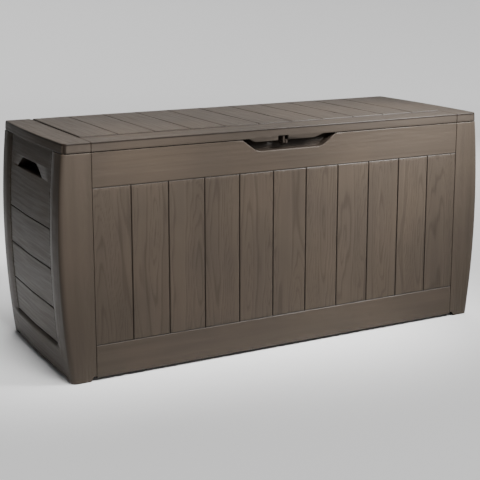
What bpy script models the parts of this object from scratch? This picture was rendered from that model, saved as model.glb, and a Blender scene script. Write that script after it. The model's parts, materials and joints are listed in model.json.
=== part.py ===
"""Deck storage box: a resin chest with plank-pattern walls and a hinged lid.

Units are metres, +Z is up, and -Y is the front. The origin is on the ground under
the middle of the box. The body is a floor tray held between a front panel, a back
panel and two wrap-round end panels, whose corner posts stand on the ground. The lid
turns on pins in brackets on the back panel, and a slotted stay at each end stops it.
"""

import math

import bmesh
import bpy
from mathutils import Vector

# ---- driving dimensions -------------------------------------------------------------
PLANK_PITCH = 0.0932                    # width of one plank of the pattern
PLANK_COUNT = 11
DEPTH = 0.450
BODY_TOP = 0.534                        # top of the body's rim
LID_TOP = 0.558                         # top of the lid's frame
LID_OPEN_DEG = 100.0                    # how far the lid opens

# ---- body walls ---------------------------------------------------------------------
HALF_DEPTH = DEPTH / 2
PANEL_HALF = PLANK_COUNT * PLANK_PITCH / 2
SEAM = 0.0015                           # half of the gap between a panel and a post
SKIN = 0.0045                           # wall of a long panel
END_SKIN = 0.004                        # wall of an end panel
RIM_WIDTH = 0.010
RIM_THICK = 0.004
PANEL_BOTTOM = 0.0075
RAIL_TOP = 0.453                        # lower edge of the top rail
RAIL_LOW = 0.085                        # upper edge of the bottom rail
GROOVE_WIDTH = 0.0028
GROOVE_DEPTH = 0.002
LAP_START = 0.490                       # the tongue behind each post, from and to
LAP_END = 0.536
LAP_THICK = 0.004

# ---- end walls: bowed in height and in plan -------------------------------------------
END_REACH = 0.592                       # half length at the fullest height
END_BELLY_Z = 0.300
END_BOW_RADIUS = 2.2
END_BULGE = 0.0075                      # extra reach at the middle of the depth
CORNER_RADIUS = 0.012
COVE_OUTER = 0.186                      # the hollow face starts here, from the centre
COVE_INNER = 0.140
RECESS = 0.006
END_RAIL_TOP = 0.080
END_RAIL_SLOPE = 0.006
END_GROOVES = (0.166, 0.259, 0.3535)
END_BOTTOM = 0.008
FOOT_INNER_X = 0.5276
FOOT_CHAMFER_X = 0.519
FOOT_INNER_Y = 0.190
SOLE_THICK = 0.004

# ---- hand recesses --------------------------------------------------------------------
GRIP_LOW = 0.461
GRIP_HIGH = 0.489
GRIP_HALF_LOW = 0.0965
GRIP_HALF_HIGH = 0.0515
GRIP_BACK_X = 0.5565
SCOOP_LOW = 0.5045
SCOOP_HALF_LOW = 0.0915
SCOOP_HALF_HIGH = 0.132
SCOOP_DEPTH = 0.022
POCKET_WALL = 0.003

# ---- floor tray -------------------------------------------------------------------------
TRAY_HALF_X = 0.564
TRAY_HALF_Y = 0.2158
TRAY_LOW = 0.008
TRAY_FLOOR = 0.022
TRAY_SKIN = 0.003
TRAY_TOP = 0.060
TRAY_POCKETS_X = 10
TRAY_POCKETS_Y = 4
TRAY_RIB = 0.0025

# ---- lid ----------------------------------------------------------------------------------
LID_LOW = 0.5355
LID_SKIN = 0.0035
LID_WALL = 0.004
LID_REAR_BAR_Y = 0.196
PLANK_RISE = 0.0025
PLANK_FRONT_Y = -0.150
PLANK_REAR_Y = 0.195
LID_RIB = 0.0025
LID_RIB_LOW = 0.542
LID_RIB_Y = (-0.100, 0.0)
LID_RIB_REACH_X = 0.530
LID_RIB_REACH_Y = 0.188
TONGUE_LOW = 0.527
TONGUE_HALF_LOW = 0.095
TONGUE_HALF_HIGH = 0.110
NOTCH_CENTRE_X = -0.020
NOTCH_HALF = 0.014
NOTCH_TOP = 0.538

# ---- hinges -------------------------------------------------------------------------------
HINGE_Y = 0.212
HINGE_Z = 0.5465
NOSE_RADIUS = LID_TOP - HINGE_Z
HINGE_X = {"left": -0.488, "centre": 0.0, "right": 0.488}
HINGE_GAP_HALF = 0.0285
KNUCKLE_HALF = 0.025
KNUCKLE_RADIUS = 0.0095
PIN_RADIUS = 0.003
PIN_HALF = 0.042
LUG_LENGTH = 0.015
BORE_CLEARANCE = 0.0003
GAP = 0.0003                            # kept between touching pieces
LEAF_THICK = 0.004
LEAF_LOW = 0.487
SCREW_Z = 0.506
SCREW_OFFSET = 0.015
SCREW_RADIUS = 0.002
SCREW_HEAD_RADIUS = 0.0045
SCREW_HEAD = 0.0025
SCREW_LENGTH = 0.0105
PAD_HALF = 0.022

# ---- lid stays ----------------------------------------------------------------------------
STAY_X = 0.550                          # middle of the arm's thickness
STAY_THICK = 0.004
STAY_HALF_WIDTH = 0.009
STAY_PIVOT_Y = 0.055
STAY_PIVOT_Z = 0.525
STUD_Y = 0.095
STUD_NECK = 0.004
STUD_HEAD = 0.008
STUD_FLANGE = 0.012
STAY_PIN_RADIUS = 0.003
STAY_PIN_HEAD = 0.006
BRACKET_X = 0.541
BRACKET_THICK = 0.005
BRACKET_HALF = 0.012
BRACKET_REACH = 0.020
BRACKET_LOW = 0.5125

# ---- padlock ears -------------------------------------------------------------------------
LID_EAR_X = -0.0175
BODY_EAR_X = -0.0095
EAR_HALF = 0.0025
EAR_HOLE_Y = -0.2145
EAR_HOLE_Z = 0.5235
EAR_HOLE_RADIUS = 0.004

# ---- colours, linear RGB --------------------------------------------------------------------
RESIN = (0.112, 0.092, 0.075)
DARK_RESIN = (0.055, 0.046, 0.040)
STEEL = (0.42, 0.42, 0.43)

OVERSHOOT = 0.002                       # a cutter runs this far past the face it cuts
ROUND_STEPS = 24


# ---- helpers ------------------------------------------------------------------------------

def clear_scene():
    """Remove every object, so that the model is the only thing in the file."""
    for obj in list(bpy.data.objects):
        bpy.data.objects.remove(obj, do_unlink=True)


def make_material(name, colour, roughness, metallic=0.0):
    """Return a Principled material."""
    material = bpy.data.materials.new(name)
    material.use_nodes = True
    shader = material.node_tree.nodes["Principled BSDF"]
    shader.inputs["Base Color"].default_value = (*colour, 1.0)
    shader.inputs["Roughness"].default_value = roughness
    shader.inputs["Metallic"].default_value = metallic
    return material


def make_object(name, bm, material=None):
    """Turn a bmesh into a named object with its faces pointing out."""
    bmesh.ops.remove_doubles(bm, verts=bm.verts, dist=1e-6)
    bmesh.ops.recalc_face_normals(bm, faces=bm.faces)
    mesh = bpy.data.meshes.new(name)
    bm.to_mesh(mesh)
    bm.free()
    if material is not None:
        mesh.materials.append(material)
    obj = bpy.data.objects.new(name, mesh)
    bpy.context.scene.collection.objects.link(obj)
    return obj


def extrude_outline(bm, points, offset):
    """Fill a closed outline of 3D points and extrude it by an offset vector."""
    face = bm.faces.new([bm.verts.new(point) for point in points])
    moved = bmesh.ops.extrude_face_region(bm, geom=[face])
    verts = [item for item in moved["geom"] if isinstance(item, bmesh.types.BMVert)]
    bmesh.ops.translate(bm, verts=verts, vec=Vector(offset))


def along_x(bm, outline, low, high):
    """Extrude a (y, z) outline from x = low to x = high."""
    extrude_outline(bm, [(low, y, z) for y, z in outline], (high - low, 0, 0))


def along_y(bm, outline, low, high):
    """Extrude an (x, z) outline from y = low to y = high."""
    extrude_outline(bm, [(x, low, z) for x, z in outline], (0, high - low, 0))


def along_z(bm, outline, low, high):
    """Extrude an (x, y) outline from z = low to z = high."""
    extrude_outline(bm, [(x, y, low) for x, y in outline], (0, 0, high - low))


def rectangle(a_low, a_high, b_low, b_high):
    """Return the four corners of a rectangle."""
    return [(a_low, b_low), (a_high, b_low), (a_high, b_high), (a_low, b_high)]


def add_box(bm, x, y, z):
    """Add a box given its (low, high) pair along each axis."""
    along_z(bm, rectangle(*x, *y), *z)


def arc(centre, radius, start_deg, end_deg, steps):
    """Return points along an arc, both ends included."""
    points = []
    for step in range(steps + 1):
        angle = math.radians(start_deg + (end_deg - start_deg) * step / steps)
        points.append((centre[0] + radius * math.cos(angle), centre[1] + radius * math.sin(angle)))
    return points


def circle(centre, radius, steps=ROUND_STEPS):
    """Return the points of a full circle, without repeating the first."""
    return arc(centre, radius, 0, 360 * (steps - 1) / steps, steps - 1)


def combine(target, tool, operation):
    """Add a Boolean modifier, and hide its tool."""
    modifier = target.modifiers.new(operation.lower(), "BOOLEAN")
    modifier.operation = operation
    modifier.solver = "EXACT"
    modifier.object = tool
    tool.hide_render = True
    tool.display_type = "WIRE"
    tool.parent = target


def cut(target, bm):
    """Cut a bmesh out of an object."""
    combine(target, make_object(target.name + "_cut", bm), "DIFFERENCE")


def join(target, bm):
    """Join a bmesh to an object."""
    combine(target, make_object(target.name + "_add", bm), "UNION")


def shade_round(obj, angle_deg=35.0):
    """Shade smooth except across sharp edges."""
    obj.data.shade_smooth()
    obj.data.set_sharp_from_angle(angle=math.radians(angle_deg))


def turned(name, profile, centre, material, steps=ROUND_STEPS):
    """Spin an (x, radius) profile round the X direction through a (y, z) centre."""
    bm = bmesh.new()
    verts = [bm.verts.new((x, centre[0], centre[1] + radius)) for x, radius in profile]
    edges = [bm.edges.new(pair) for pair in zip(verts, verts[1:])]
    bmesh.ops.spin(
        bm,
        geom=verts + edges,
        cent=(0, centre[0], centre[1]),
        axis=(1, 0, 0),
        angle=math.tau,
        steps=steps,
        use_merge=True,
    )
    obj = make_object(name, bm, material)
    shade_round(obj)
    return obj


def groove_section(centre, surface, outward):
    """Return a V groove's three corners as (along, height) pairs."""
    run = OVERSHOOT / GROOVE_DEPTH
    half = GROOVE_WIDTH / 2 * (1 + run)
    return [
        (centre - half, surface + outward * OVERSHOOT),
        (centre + half, surface + outward * OVERSHOOT),
        (centre, surface - outward * GROOVE_DEPTH),
    ]


def plank_lines():
    """Return the X of each groove between two planks."""
    return [(index - PLANK_COUNT / 2) * PLANK_PITCH for index in range(1, PLANK_COUNT)]


# ---- shape of the end walls -----------------------------------------------------------------

def end_reach(z):
    """Return the half length at a height, at the corners."""
    return END_REACH - (z - END_BELLY_Z) ** 2 / (2 * END_BOW_RADIUS)


def end_bulge(y):
    """Return how much further the end reaches at a depth."""
    return END_BULGE * (1 - (y / HALF_DEPTH) ** 2)


def cove(y):
    """Return 0 on the posts and 1 on the recessed planks, with a soft slope between."""
    part = (COVE_OUTER - abs(y)) / (COVE_OUTER - COVE_INNER)
    part = min(max(part, 0.0), 1.0)
    return part * part * (3 - 2 * part)


def end_face(y, z):
    """Return the X of the right end wall's outer face, grooves left out."""
    ramp = (z - END_RAIL_TOP + END_RAIL_SLOPE) / END_RAIL_SLOPE
    ramp = min(max(ramp, 0.0), 1.0)
    return end_reach(z) + end_bulge(y) - RECESS * cove(y) * ramp


def end_stations():
    """Return the stations round an end panel, from the front seam to the rear seam.

    Each station is (place, value, bottom): a front strip X, a corner angle or a side Y.
    """
    front = [
        ("strip", PANEL_HALF + SEAM, END_BOTTOM),
        ("strip", FOOT_CHAMFER_X, END_BOTTOM),
        ("strip", FOOT_INNER_X, 0.0),
    ]
    front += [("corner", angle, 0.0) for angle in (0, 30, 60, 90)]
    side_half = [
        ("side", FOOT_INNER_Y, 0.0),
        ("side", COVE_OUTER, END_BOTTOM),
        ("side", (COVE_OUTER + COVE_INNER) / 2, END_BOTTOM),
        ("side", COVE_INNER, END_BOTTOM),
        ("side", COVE_INNER * 2 / 3, END_BOTTOM),
        ("side", COVE_INNER / 3, END_BOTTOM),
    ]
    half = front + side_half
    stations = [(-1, *station) for station in half]
    stations.append((-1, "side", 0.0, END_BOTTOM))
    stations += [(1, *station) for station in reversed(half)]
    return stations


def end_point(station, inward, z, groove):
    """Return a point of the right end panel."""
    side, place, value, bottom = station
    height = max(z, bottom) if z < END_BOTTOM else z
    if place == "strip":
        return (value, side * (HALF_DEPTH - inward), height)
    if place == "corner":
        angle = math.radians(value)
        radius = CORNER_RADIUS - inward
        centre_x = end_reach(height) - CORNER_RADIUS
        centre_y = HALF_DEPTH - CORNER_RADIUS
        swell = end_bulge(centre_y) * math.sin(angle)
        x = centre_x + radius * math.sin(angle) + swell
        return (x, side * (centre_y + radius * math.cos(angle)), height)
    y = side * value
    return (end_face(y, height) - inward - groove * cove(y), y, height)


def end_profile():
    """Return the wall's closed section as (inward, z, groove depth) points."""
    heights = [0.0, 0.045, END_RAIL_TOP - END_RAIL_SLOPE, END_RAIL_TOP, 0.122]
    outer = [(0.0, z, 0.0) for z in heights]
    previous = heights[-1]
    for groove_z in END_GROOVES:
        if groove_z > END_GROOVES[0]:
            outer.append((0.0, (previous + groove_z) / 2, 0.0))
        outer.append((0.0, groove_z - GROOVE_WIDTH / 2, 0.0))
        outer.append((0.0, groove_z, GROOVE_DEPTH))
        outer.append((0.0, groove_z + GROOVE_WIDTH / 2, 0.0))
        previous = groove_z
    outer += [(0.0, z, 0.0) for z in (0.41, 0.47, BODY_TOP)]
    rim = [
        (RIM_WIDTH, BODY_TOP, 0.0),
        (RIM_WIDTH, BODY_TOP - RIM_THICK, 0.0),
        (END_SKIN, BODY_TOP - RIM_THICK, 0.0),
    ]
    inner_heights = (0.45, 0.3535, 0.259, 0.166, END_RAIL_TOP, END_RAIL_TOP - END_RAIL_SLOPE, 0.045, 0.0)
    inner = [(END_SKIN, z, 0.0) for z in inner_heights]
    return outer + rim + inner


def skin_loft(stations, profile, side):
    """Loft the closed profile along the stations, and cap both ends."""
    bm = bmesh.new()
    rings = []
    for station in stations:
        ring = []
        for inward, z, groove in profile:
            x, y, height = end_point(station, inward, z, groove)
            ring.append(bm.verts.new((side * x, y, height)))
        rings.append(ring)
    count = len(profile)
    for ring, following in zip(rings, rings[1:]):
        for index in range(count):
            after = (index + 1) % count
            bm.faces.new((ring[index], ring[after], following[after], following[index]))
    bm.faces.new(rings[0])
    bm.faces.new(rings[-1])
    return bm


# ---- body panels ------------------------------------------------------------------------------

def trapezoid(half_low, half_high, low, high):
    """Return a trapezoid's corners, centred across."""
    return [(-half_low, low), (half_low, low), (half_high, high), (-half_high, high)]


def long_panel(name, facing, material):
    """Make the front (facing -1) or back (facing +1) panel with its plank grooves."""
    def depth(inward):
        return facing * (HALF_DEPTH - inward)

    edge = PANEL_HALF - SEAM
    bm = bmesh.new()
    section = [
        (depth(0), PANEL_BOTTOM),
        (depth(0), BODY_TOP),
        (depth(RIM_WIDTH), BODY_TOP),
        (depth(RIM_WIDTH), BODY_TOP - RIM_THICK),
        (depth(SKIN), BODY_TOP - RIM_THICK),
        (depth(SKIN), PANEL_BOTTOM),
    ]
    along_x(bm, section, -edge, edge)
    panel = make_object(name, bm, material)

    laps = bmesh.new()
    back = SKIN + LAP_THICK
    for side in (-1, 1):
        outline = [
            (side * LAP_START, depth(SKIN - LAP_THICK / 3)),
            (side * (edge - SEAM), depth(SKIN - LAP_THICK / 3)),
            (side * (edge - SEAM), depth(SKIN)),
            (side * LAP_END, depth(SKIN)),
            (side * LAP_END, depth(back)),
            (side * LAP_START, depth(back)),
        ]
        along_z(laps, outline, PANEL_BOTTOM + RIM_THICK, BODY_TOP - 2 * RIM_THICK)
    join(panel, laps)

    for x in plank_lines():
        groove = bmesh.new()
        outline = groove_section(x, facing * HALF_DEPTH, facing)
        along_z(groove, outline, RAIL_LOW, RAIL_TOP)
        cut(panel, groove)
    for z in (RAIL_LOW, RAIL_TOP):
        groove = bmesh.new()
        outline = [(y, along) for along, y in groove_section(z, facing * HALF_DEPTH, facing)]
        along_x(groove, outline, -edge - OVERSHOOT, edge + OVERSHOOT)
        cut(panel, groove)
    return panel


def add_scoop(panel):
    """Give the front panel its finger recess, open at the front and at the top."""
    wall = bmesh.new()
    wide = POCKET_WALL * 1.3
    outer = trapezoid(SCOOP_HALF_LOW + wide, SCOOP_HALF_HIGH + wide, SCOOP_LOW - POCKET_WALL, BODY_TOP)
    along_y(wall, outer, -HALF_DEPTH + SKIN / 2, -HALF_DEPTH + SCOOP_DEPTH + POCKET_WALL)
    join(panel, wall)
    hollow = bmesh.new()
    slope = (SCOOP_HALF_HIGH - SCOOP_HALF_LOW) / (BODY_TOP - SCOOP_LOW)
    top = BODY_TOP + OVERSHOOT
    half_top = SCOOP_HALF_HIGH + slope * OVERSHOOT
    inner = trapezoid(SCOOP_HALF_LOW, half_top, SCOOP_LOW, top)
    along_y(hollow, inner, -HALF_DEPTH - OVERSHOOT, -HALF_DEPTH + SCOOP_DEPTH)
    cut(panel, hollow)


def add_hinge_pads(panel):
    """Thicken the back panel behind each hinge leaf, and drill it for the screws."""
    pads = bmesh.new()
    holes = bmesh.new()
    for x in HINGE_X.values():
        pad_y = (HALF_DEPTH - RIM_WIDTH, HALF_DEPTH - SKIN / 2)
        add_box(pads, (x - PAD_HALF, x + PAD_HALF), pad_y, (LEAF_LOW, BODY_TOP - RIM_THICK / 2))
        for offset in (-SCREW_OFFSET, SCREW_OFFSET):
            outline = circle((x + offset, SCREW_Z), SCREW_RADIUS + BORE_CLEARANCE, 12)
            along_y(holes, outline, HALF_DEPTH - RIM_WIDTH - OVERSHOOT, HALF_DEPTH - 0.0032)
    join(panel, pads)
    cut(panel, holes)


def sole_outline(side, facing):
    """Return the plan of the plate that closes a post's foot."""
    def reach(y):
        return end_reach(0.0) + end_bulge(y) - END_SKIN / 2

    inner_x = FOOT_INNER_X + 0.0015
    front = HALF_DEPTH - 0.0025
    corner_y = HALF_DEPTH - CORNER_RADIUS
    back = FOOT_INNER_Y + 0.002
    corner_x = end_reach(0.0) - CORNER_RADIUS
    points = [
        (inner_x, front),
        (corner_x, front),
        (reach(corner_y), corner_y),
        (reach(back), back),
        (inner_x, back),
    ]
    return [(side * x, facing * y) for x, y in points]


def grip_outline(wall):
    """Return the grip slot's (y, z) outline, grown by a wall thickness."""
    low = GRIP_LOW - wall
    high = GRIP_HIGH + wall
    half_low = GRIP_HALF_LOW + wall
    half_high = GRIP_HALF_HIGH + wall
    bottom = [(half_low * part / 2, low) for part in (-2, -1, 0, 1, 2)]
    top = [(half_high * part, high) for part in (1, 0, -1)]
    return bottom + top


def end_panel(name, side, material):
    """Make an end panel: two corner posts, the bowed wall, the rim and the grip pocket."""
    panel = make_object(name, skin_loft(end_stations(), end_profile(), side), material)

    soles = bmesh.new()
    for facing in (-1, 1):
        along_z(soles, sole_outline(side, facing), 0.0, SOLE_THICK)
    join(panel, soles)

    pocket = bmesh.new()
    outer = grip_outline(POCKET_WALL)
    mouth = [pocket.verts.new((side * (end_face(y, z) - END_SKIN / 2), y, z)) for y, z in outer]
    floor = [pocket.verts.new((side * GRIP_BACK_X, y, z)) for y, z in outer]
    pocket.faces.new(mouth)
    pocket.faces.new(floor)
    for index in range(len(outer)):
        after = (index + 1) % len(outer)
        pocket.faces.new((mouth[index], mouth[after], floor[after], floor[index]))
    join(panel, pocket)

    hollow = bmesh.new()
    ends = sorted((side * (GRIP_BACK_X + POCKET_WALL), side * (END_REACH + CORNER_RADIUS)))
    along_x(hollow, grip_outline(0.0), *ends)
    cut(panel, hollow)
    shade_round(panel)
    return panel


def rounded_plan(half_x, half_y, radius):
    """Return a rounded rectangle's plan outline."""
    points = []
    centres = ((1, 1), (-1, 1), (-1, -1), (1, -1))
    for quarter, (sx, sy) in enumerate(centres):
        centre = (sx * (half_x - radius), sy * (half_y - radius))
        points += arc(centre, radius, 90 * quarter, 90 * quarter + 90, 3)
    return points


def base_tray(material):
    """Make the floor: a ribbed slab with an upstand all round."""
    bm = bmesh.new()
    along_z(bm, rounded_plan(TRAY_HALF_X, TRAY_HALF_Y, CORNER_RADIUS), TRAY_LOW, TRAY_TOP)
    tray = make_object("base_tray", bm, material)
    inside = bmesh.new()
    outline = rounded_plan(TRAY_HALF_X - TRAY_SKIN, TRAY_HALF_Y - TRAY_SKIN, CORNER_RADIUS - TRAY_SKIN)
    along_z(inside, outline, TRAY_FLOOR, TRAY_TOP + OVERSHOOT)
    cut(tray, inside)
    pockets = bmesh.new()
    cell_x = 2 * (TRAY_HALF_X - CORNER_RADIUS) / TRAY_POCKETS_X
    cell_y = 2 * (TRAY_HALF_Y - CORNER_RADIUS) / TRAY_POCKETS_Y
    for column in range(TRAY_POCKETS_X):
        for row in range(TRAY_POCKETS_Y):
            x = -TRAY_HALF_X + CORNER_RADIUS + column * cell_x
            y = -TRAY_HALF_Y + CORNER_RADIUS + row * cell_y
            span_x = (x + TRAY_RIB / 2, x + cell_x - TRAY_RIB / 2)
            span_y = (y + TRAY_RIB / 2, y + cell_y - TRAY_RIB / 2)
            add_box(pockets, span_x, span_y, (TRAY_LOW - OVERSHOOT, TRAY_FLOOR - TRAY_SKIN))
    cut(tray, pockets)
    return tray


# ---- lid ----------------------------------------------------------------------------------------

def corner_inset(y, radius):
    """Return how far a rounded plan corner pulls the end in at a depth."""
    past = abs(y) - (HALF_DEPTH - CORNER_RADIUS)
    if past <= 0:
        return 0.0
    return radius - math.sqrt(max(radius ** 2 - past ** 2, 0.0))


def lid_stations(inset):
    """Return (y, low, high) stations from the lid's front edge to its rear edge."""
    radius = CORNER_RADIUS - inset
    low = LID_LOW if inset == 0 else BODY_TOP - OVERSHOOT
    high = LID_TOP if inset == 0 else LID_TOP - LID_SKIN
    centre_y = HALF_DEPTH - CORNER_RADIUS
    stations = [(-centre_y - radius * math.cos(math.radians(a)), low, high) for a in (0, 25, 50, 70, 90)]
    stations += [(part * centre_y, low, high) for part in (-0.75, -0.5, -0.25, 0, 0.25, 0.5, 0.75)]
    if inset == 0:
        for angle in (0, 15, 30, 45, 60, 75, 85):
            across = NOSE_RADIUS * math.cos(math.radians(angle))
            y = HINGE_Y + NOSE_RADIUS * math.sin(math.radians(angle))
            stations.append((y, HINGE_Z - across, HINGE_Z + across))
    else:
        stations.append((LID_REAR_BAR_Y, low, high))
    return stations


def lid_block(inset):
    """Return the lid's outer block, or with an inset the hollow under it."""
    bm = bmesh.new()
    rings = []
    for y, low, high in lid_stations(inset):
        pull = inset + corner_inset(y, CORNER_RADIUS - inset)
        ring = []
        for side, z in ((-1, low), (1, low), (1, high), (-1, high)):
            x = side * (end_reach(max(z, LID_LOW)) + end_bulge(y) - pull)
            ring.append(bm.verts.new((x, y, z)))
        rings.append(ring)
    for ring, following in zip(rings, rings[1:]):
        for index in range(4):
            after = (index + 1) % 4
            bm.faces.new((ring[index], ring[after], following[after], following[index]))
    bm.faces.new(rings[0])
    bm.faces.new(rings[-1])
    return bm


def lug_spans():
    """Return the X spans between the lid's hinge lugs, where its rear edge is hollow."""
    reach = HINGE_GAP_HALF + LUG_LENGTH
    places = sorted(HINGE_X.values())
    return [(left + reach, right - reach) for left, right in zip(places, places[1:])]


def lid_shell(material):
    """Make the lid: planked top, skirt, rolled rear edge, ribs, tongue and hinge notches."""
    lid = make_object("lid_shell", lid_block(0.0), material)

    planks = bmesh.new()
    plank_z = (LID_TOP - LID_SKIN / 2, LID_TOP + PLANK_RISE)
    add_box(planks, (-PANEL_HALF, PANEL_HALF), (PLANK_FRONT_Y, PLANK_REAR_Y), plank_z)
    join(lid, planks)

    tongue = bmesh.new()
    outline = trapezoid(TONGUE_HALF_LOW, TONGUE_HALF_HIGH, TONGUE_LOW, LID_LOW + LID_WALL)
    along_y(tongue, outline, -HALF_DEPTH, -HALF_DEPTH + LID_WALL - GAP)
    join(lid, tongue)
    cut(lid, lid_block(LID_WALL))

    ribs = bmesh.new()
    rib_z = (LID_RIB_LOW, LID_TOP - LID_SKIN / 2)
    for y in LID_RIB_Y:
        add_box(ribs, (-LID_RIB_REACH_X, LID_RIB_REACH_X), (y - LID_RIB / 2, y + LID_RIB / 2), rib_z)
    join(lid, ribs)
    for x in plank_lines()[::3]:
        rib = bmesh.new()
        add_box(rib, (x - LID_RIB / 2, x + LID_RIB / 2), (-LID_RIB_REACH_Y, LID_RIB_REACH_Y), rib_z)
        join(lid, rib)

    hollows = bmesh.new()
    for span in lug_spans():
        add_box(hollows, span, (LID_REAR_BAR_Y - OVERSHOOT, 0.2165), (BODY_TOP - OVERSHOOT, 0.5535))
    cut(lid, hollows)

    notches = bmesh.new()
    bores = bmesh.new()
    for x in HINGE_X.values():
        span = (x - HINGE_GAP_HALF, x + HINGE_GAP_HALF)
        add_box(notches, span, (0.1985, HALF_DEPTH + OVERSHOOT), (BODY_TOP - OVERSHOOT, LID_TOP + OVERSHOOT))
        reach = PIN_HALF + OVERSHOOT / 2
        along_x(bores, circle((HINGE_Y, HINGE_Z), PIN_RADIUS + BORE_CLEARANCE, 16), x - reach, x + reach)
    cut(lid, notches)
    cut(lid, bores)

    latch = bmesh.new()
    latch_x = (NOTCH_CENTRE_X - NOTCH_HALF, NOTCH_CENTRE_X + NOTCH_HALF)
    latch_y = (-HALF_DEPTH - OVERSHOOT, -HALF_DEPTH + LID_WALL + OVERSHOOT)
    add_box(latch, latch_x, latch_y, (TONGUE_LOW - OVERSHOOT, NOTCH_TOP))
    cut(lid, latch)

    surface = LID_TOP + PLANK_RISE
    for x in plank_lines():
        groove = bmesh.new()
        along_y(groove, groove_section(x, surface, 1), PLANK_FRONT_Y - OVERSHOOT, PLANK_REAR_Y + OVERSHOOT)
        cut(lid, groove)
    for side in (-1, 1):
        seam = bmesh.new()
        half = GROOVE_WIDTH / 2
        seam_x = (side * PANEL_HALF - half, side * PANEL_HALF + half)
        seam_z = (LID_LOW - OVERSHOOT, LID_TOP + OVERSHOOT)
        add_box(seam, seam_x, (-HALF_DEPTH - OVERSHOOT, -HALF_DEPTH + GROOVE_DEPTH), seam_z)
        cut(lid, seam)
    return lid


# ---- hinges -----------------------------------------------------------------------------------

def hinge_bracket(name, x, material):
    """Make a knuckle that stands on a leaf screwed to the back panel."""
    outer_y = HALF_DEPTH - RIM_WIDTH - GAP
    leaf = [
        (outer_y - LEAF_THICK, LEAF_LOW),
        (outer_y, LEAF_LOW),
        (outer_y, HINGE_Z),
        (outer_y - LEAF_THICK, HINGE_Z),
    ]
    bm = bmesh.new()
    along_x(bm, leaf, x - KNUCKLE_HALF, x + KNUCKLE_HALF)
    bracket = make_object(name, bm, material)
    knuckle = bmesh.new()
    reach = KNUCKLE_HALF + GAP
    along_x(knuckle, circle((HINGE_Y, HINGE_Z), KNUCKLE_RADIUS), x - reach, x + reach)
    join(bracket, knuckle)
    bore = bmesh.new()
    reach += OVERSHOOT
    along_x(bore, circle((HINGE_Y, HINGE_Z), PIN_RADIUS + BORE_CLEARANCE, 16), x - reach, x + reach)
    cut(bracket, bore)
    holes = bmesh.new()
    for offset in (-SCREW_OFFSET, SCREW_OFFSET):
        outline = circle((x + offset, SCREW_Z), SCREW_RADIUS + BORE_CLEARANCE, 12)
        along_y(holes, outline, outer_y - LEAF_THICK - OVERSHOOT, outer_y + OVERSHOOT)
    cut(bracket, holes)
    return bracket


def hinge_pin(name, x, material):
    """Make a plain pin with chamfered ends."""
    chamfer = PIN_RADIUS / 4
    profile = [
        (x - PIN_HALF, 0.0),
        (x - PIN_HALF, PIN_RADIUS - chamfer),
        (x - PIN_HALF + chamfer, PIN_RADIUS),
        (x + PIN_HALF - chamfer, PIN_RADIUS),
        (x + PIN_HALF, PIN_RADIUS - chamfer),
        (x + PIN_HALF, 0.0),
    ]
    return turned(name, profile, (HINGE_Y, HINGE_Z), material, 16)


def hinge_screw(name, x, material):
    """Make a pan-head screw that goes through the leaf into the back panel."""
    head_y = HALF_DEPTH - RIM_WIDTH - GAP - LEAF_THICK - GAP
    bm = bmesh.new()
    along_y(bm, circle((x, SCREW_Z), SCREW_HEAD_RADIUS, 16), head_y - SCREW_HEAD, head_y)
    screw = make_object(name, bm, material)
    shank = bmesh.new()
    along_y(shank, circle((x, SCREW_Z), SCREW_RADIUS, 12), head_y - SCREW_HEAD / 2, head_y + SCREW_LENGTH)
    join(screw, shank)
    return screw


# ---- lid stays ----------------------------------------------------------------------------------

def stud_height():
    """Return the stud's Z, on the circle that the arm's pivot follows round the hinge.

    The arm then turns exactly half as far as the lid does.
    """
    radius = math.hypot(STAY_PIVOT_Y - HINGE_Y, STAY_PIVOT_Z - HINGE_Z)
    return HINGE_Z - math.sqrt(radius ** 2 - (STUD_Y - HINGE_Y) ** 2)


def stay_reach():
    """Return the distance from the pivot to the stud, closed and fully open."""
    stud = Vector((STUD_Y - HINGE_Y, stud_height() - HINGE_Z))
    pivot = Vector((STAY_PIVOT_Y - HINGE_Y, STAY_PIVOT_Z - HINGE_Z))
    closed = (stud - pivot).length
    turn = math.radians(LID_OPEN_DEG)
    opened = Vector((
        pivot.x * math.cos(turn) + pivot.y * math.sin(turn),
        pivot.y * math.cos(turn) - pivot.x * math.sin(turn),
    ))
    return closed, (stud - opened).length


def stadium(start, end, half_width, direction):
    """Return a slot-shaped (y, z) outline round the line from start to end."""
    heading = math.degrees(math.atan2(direction.y, direction.x))
    first = direction * start
    last = direction * end
    outline = arc((last.x, last.y), half_width, heading - 90, heading + 90, 8)
    outline += arc((first.x, first.y), half_width, heading + 90, heading + 270, 8)
    return outline


def stay_arm(name, side, material):
    """Make a slotted arm, with its origin on its pivot."""
    closed, opened = stay_reach()
    direction = Vector((STUD_Y - STAY_PIVOT_Y, stud_height() - STAY_PIVOT_Z)).normalized()
    bm = bmesh.new()
    half = STAY_THICK / 2
    tail = STAY_HALF_WIDTH - STUD_NECK
    along_x(bm, stadium(0.0, opened + tail, STAY_HALF_WIDTH, direction), -half, half)
    arm = make_object(name, bm, material)
    slot = bmesh.new()
    room = STUD_NECK + 2 * GAP
    reach = half + OVERSHOOT
    along_x(slot, stadium(closed - GAP, opened + GAP, room, direction), -reach, reach)
    cut(arm, slot)
    eye = bmesh.new()
    along_x(eye, circle((0.0, 0.0), STAY_PIN_RADIUS + BORE_CLEARANCE, 12), -reach, reach)
    cut(arm, eye)
    arm.location = (side * STAY_X, STAY_PIVOT_Y, STAY_PIVOT_Z)
    return arm


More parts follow.
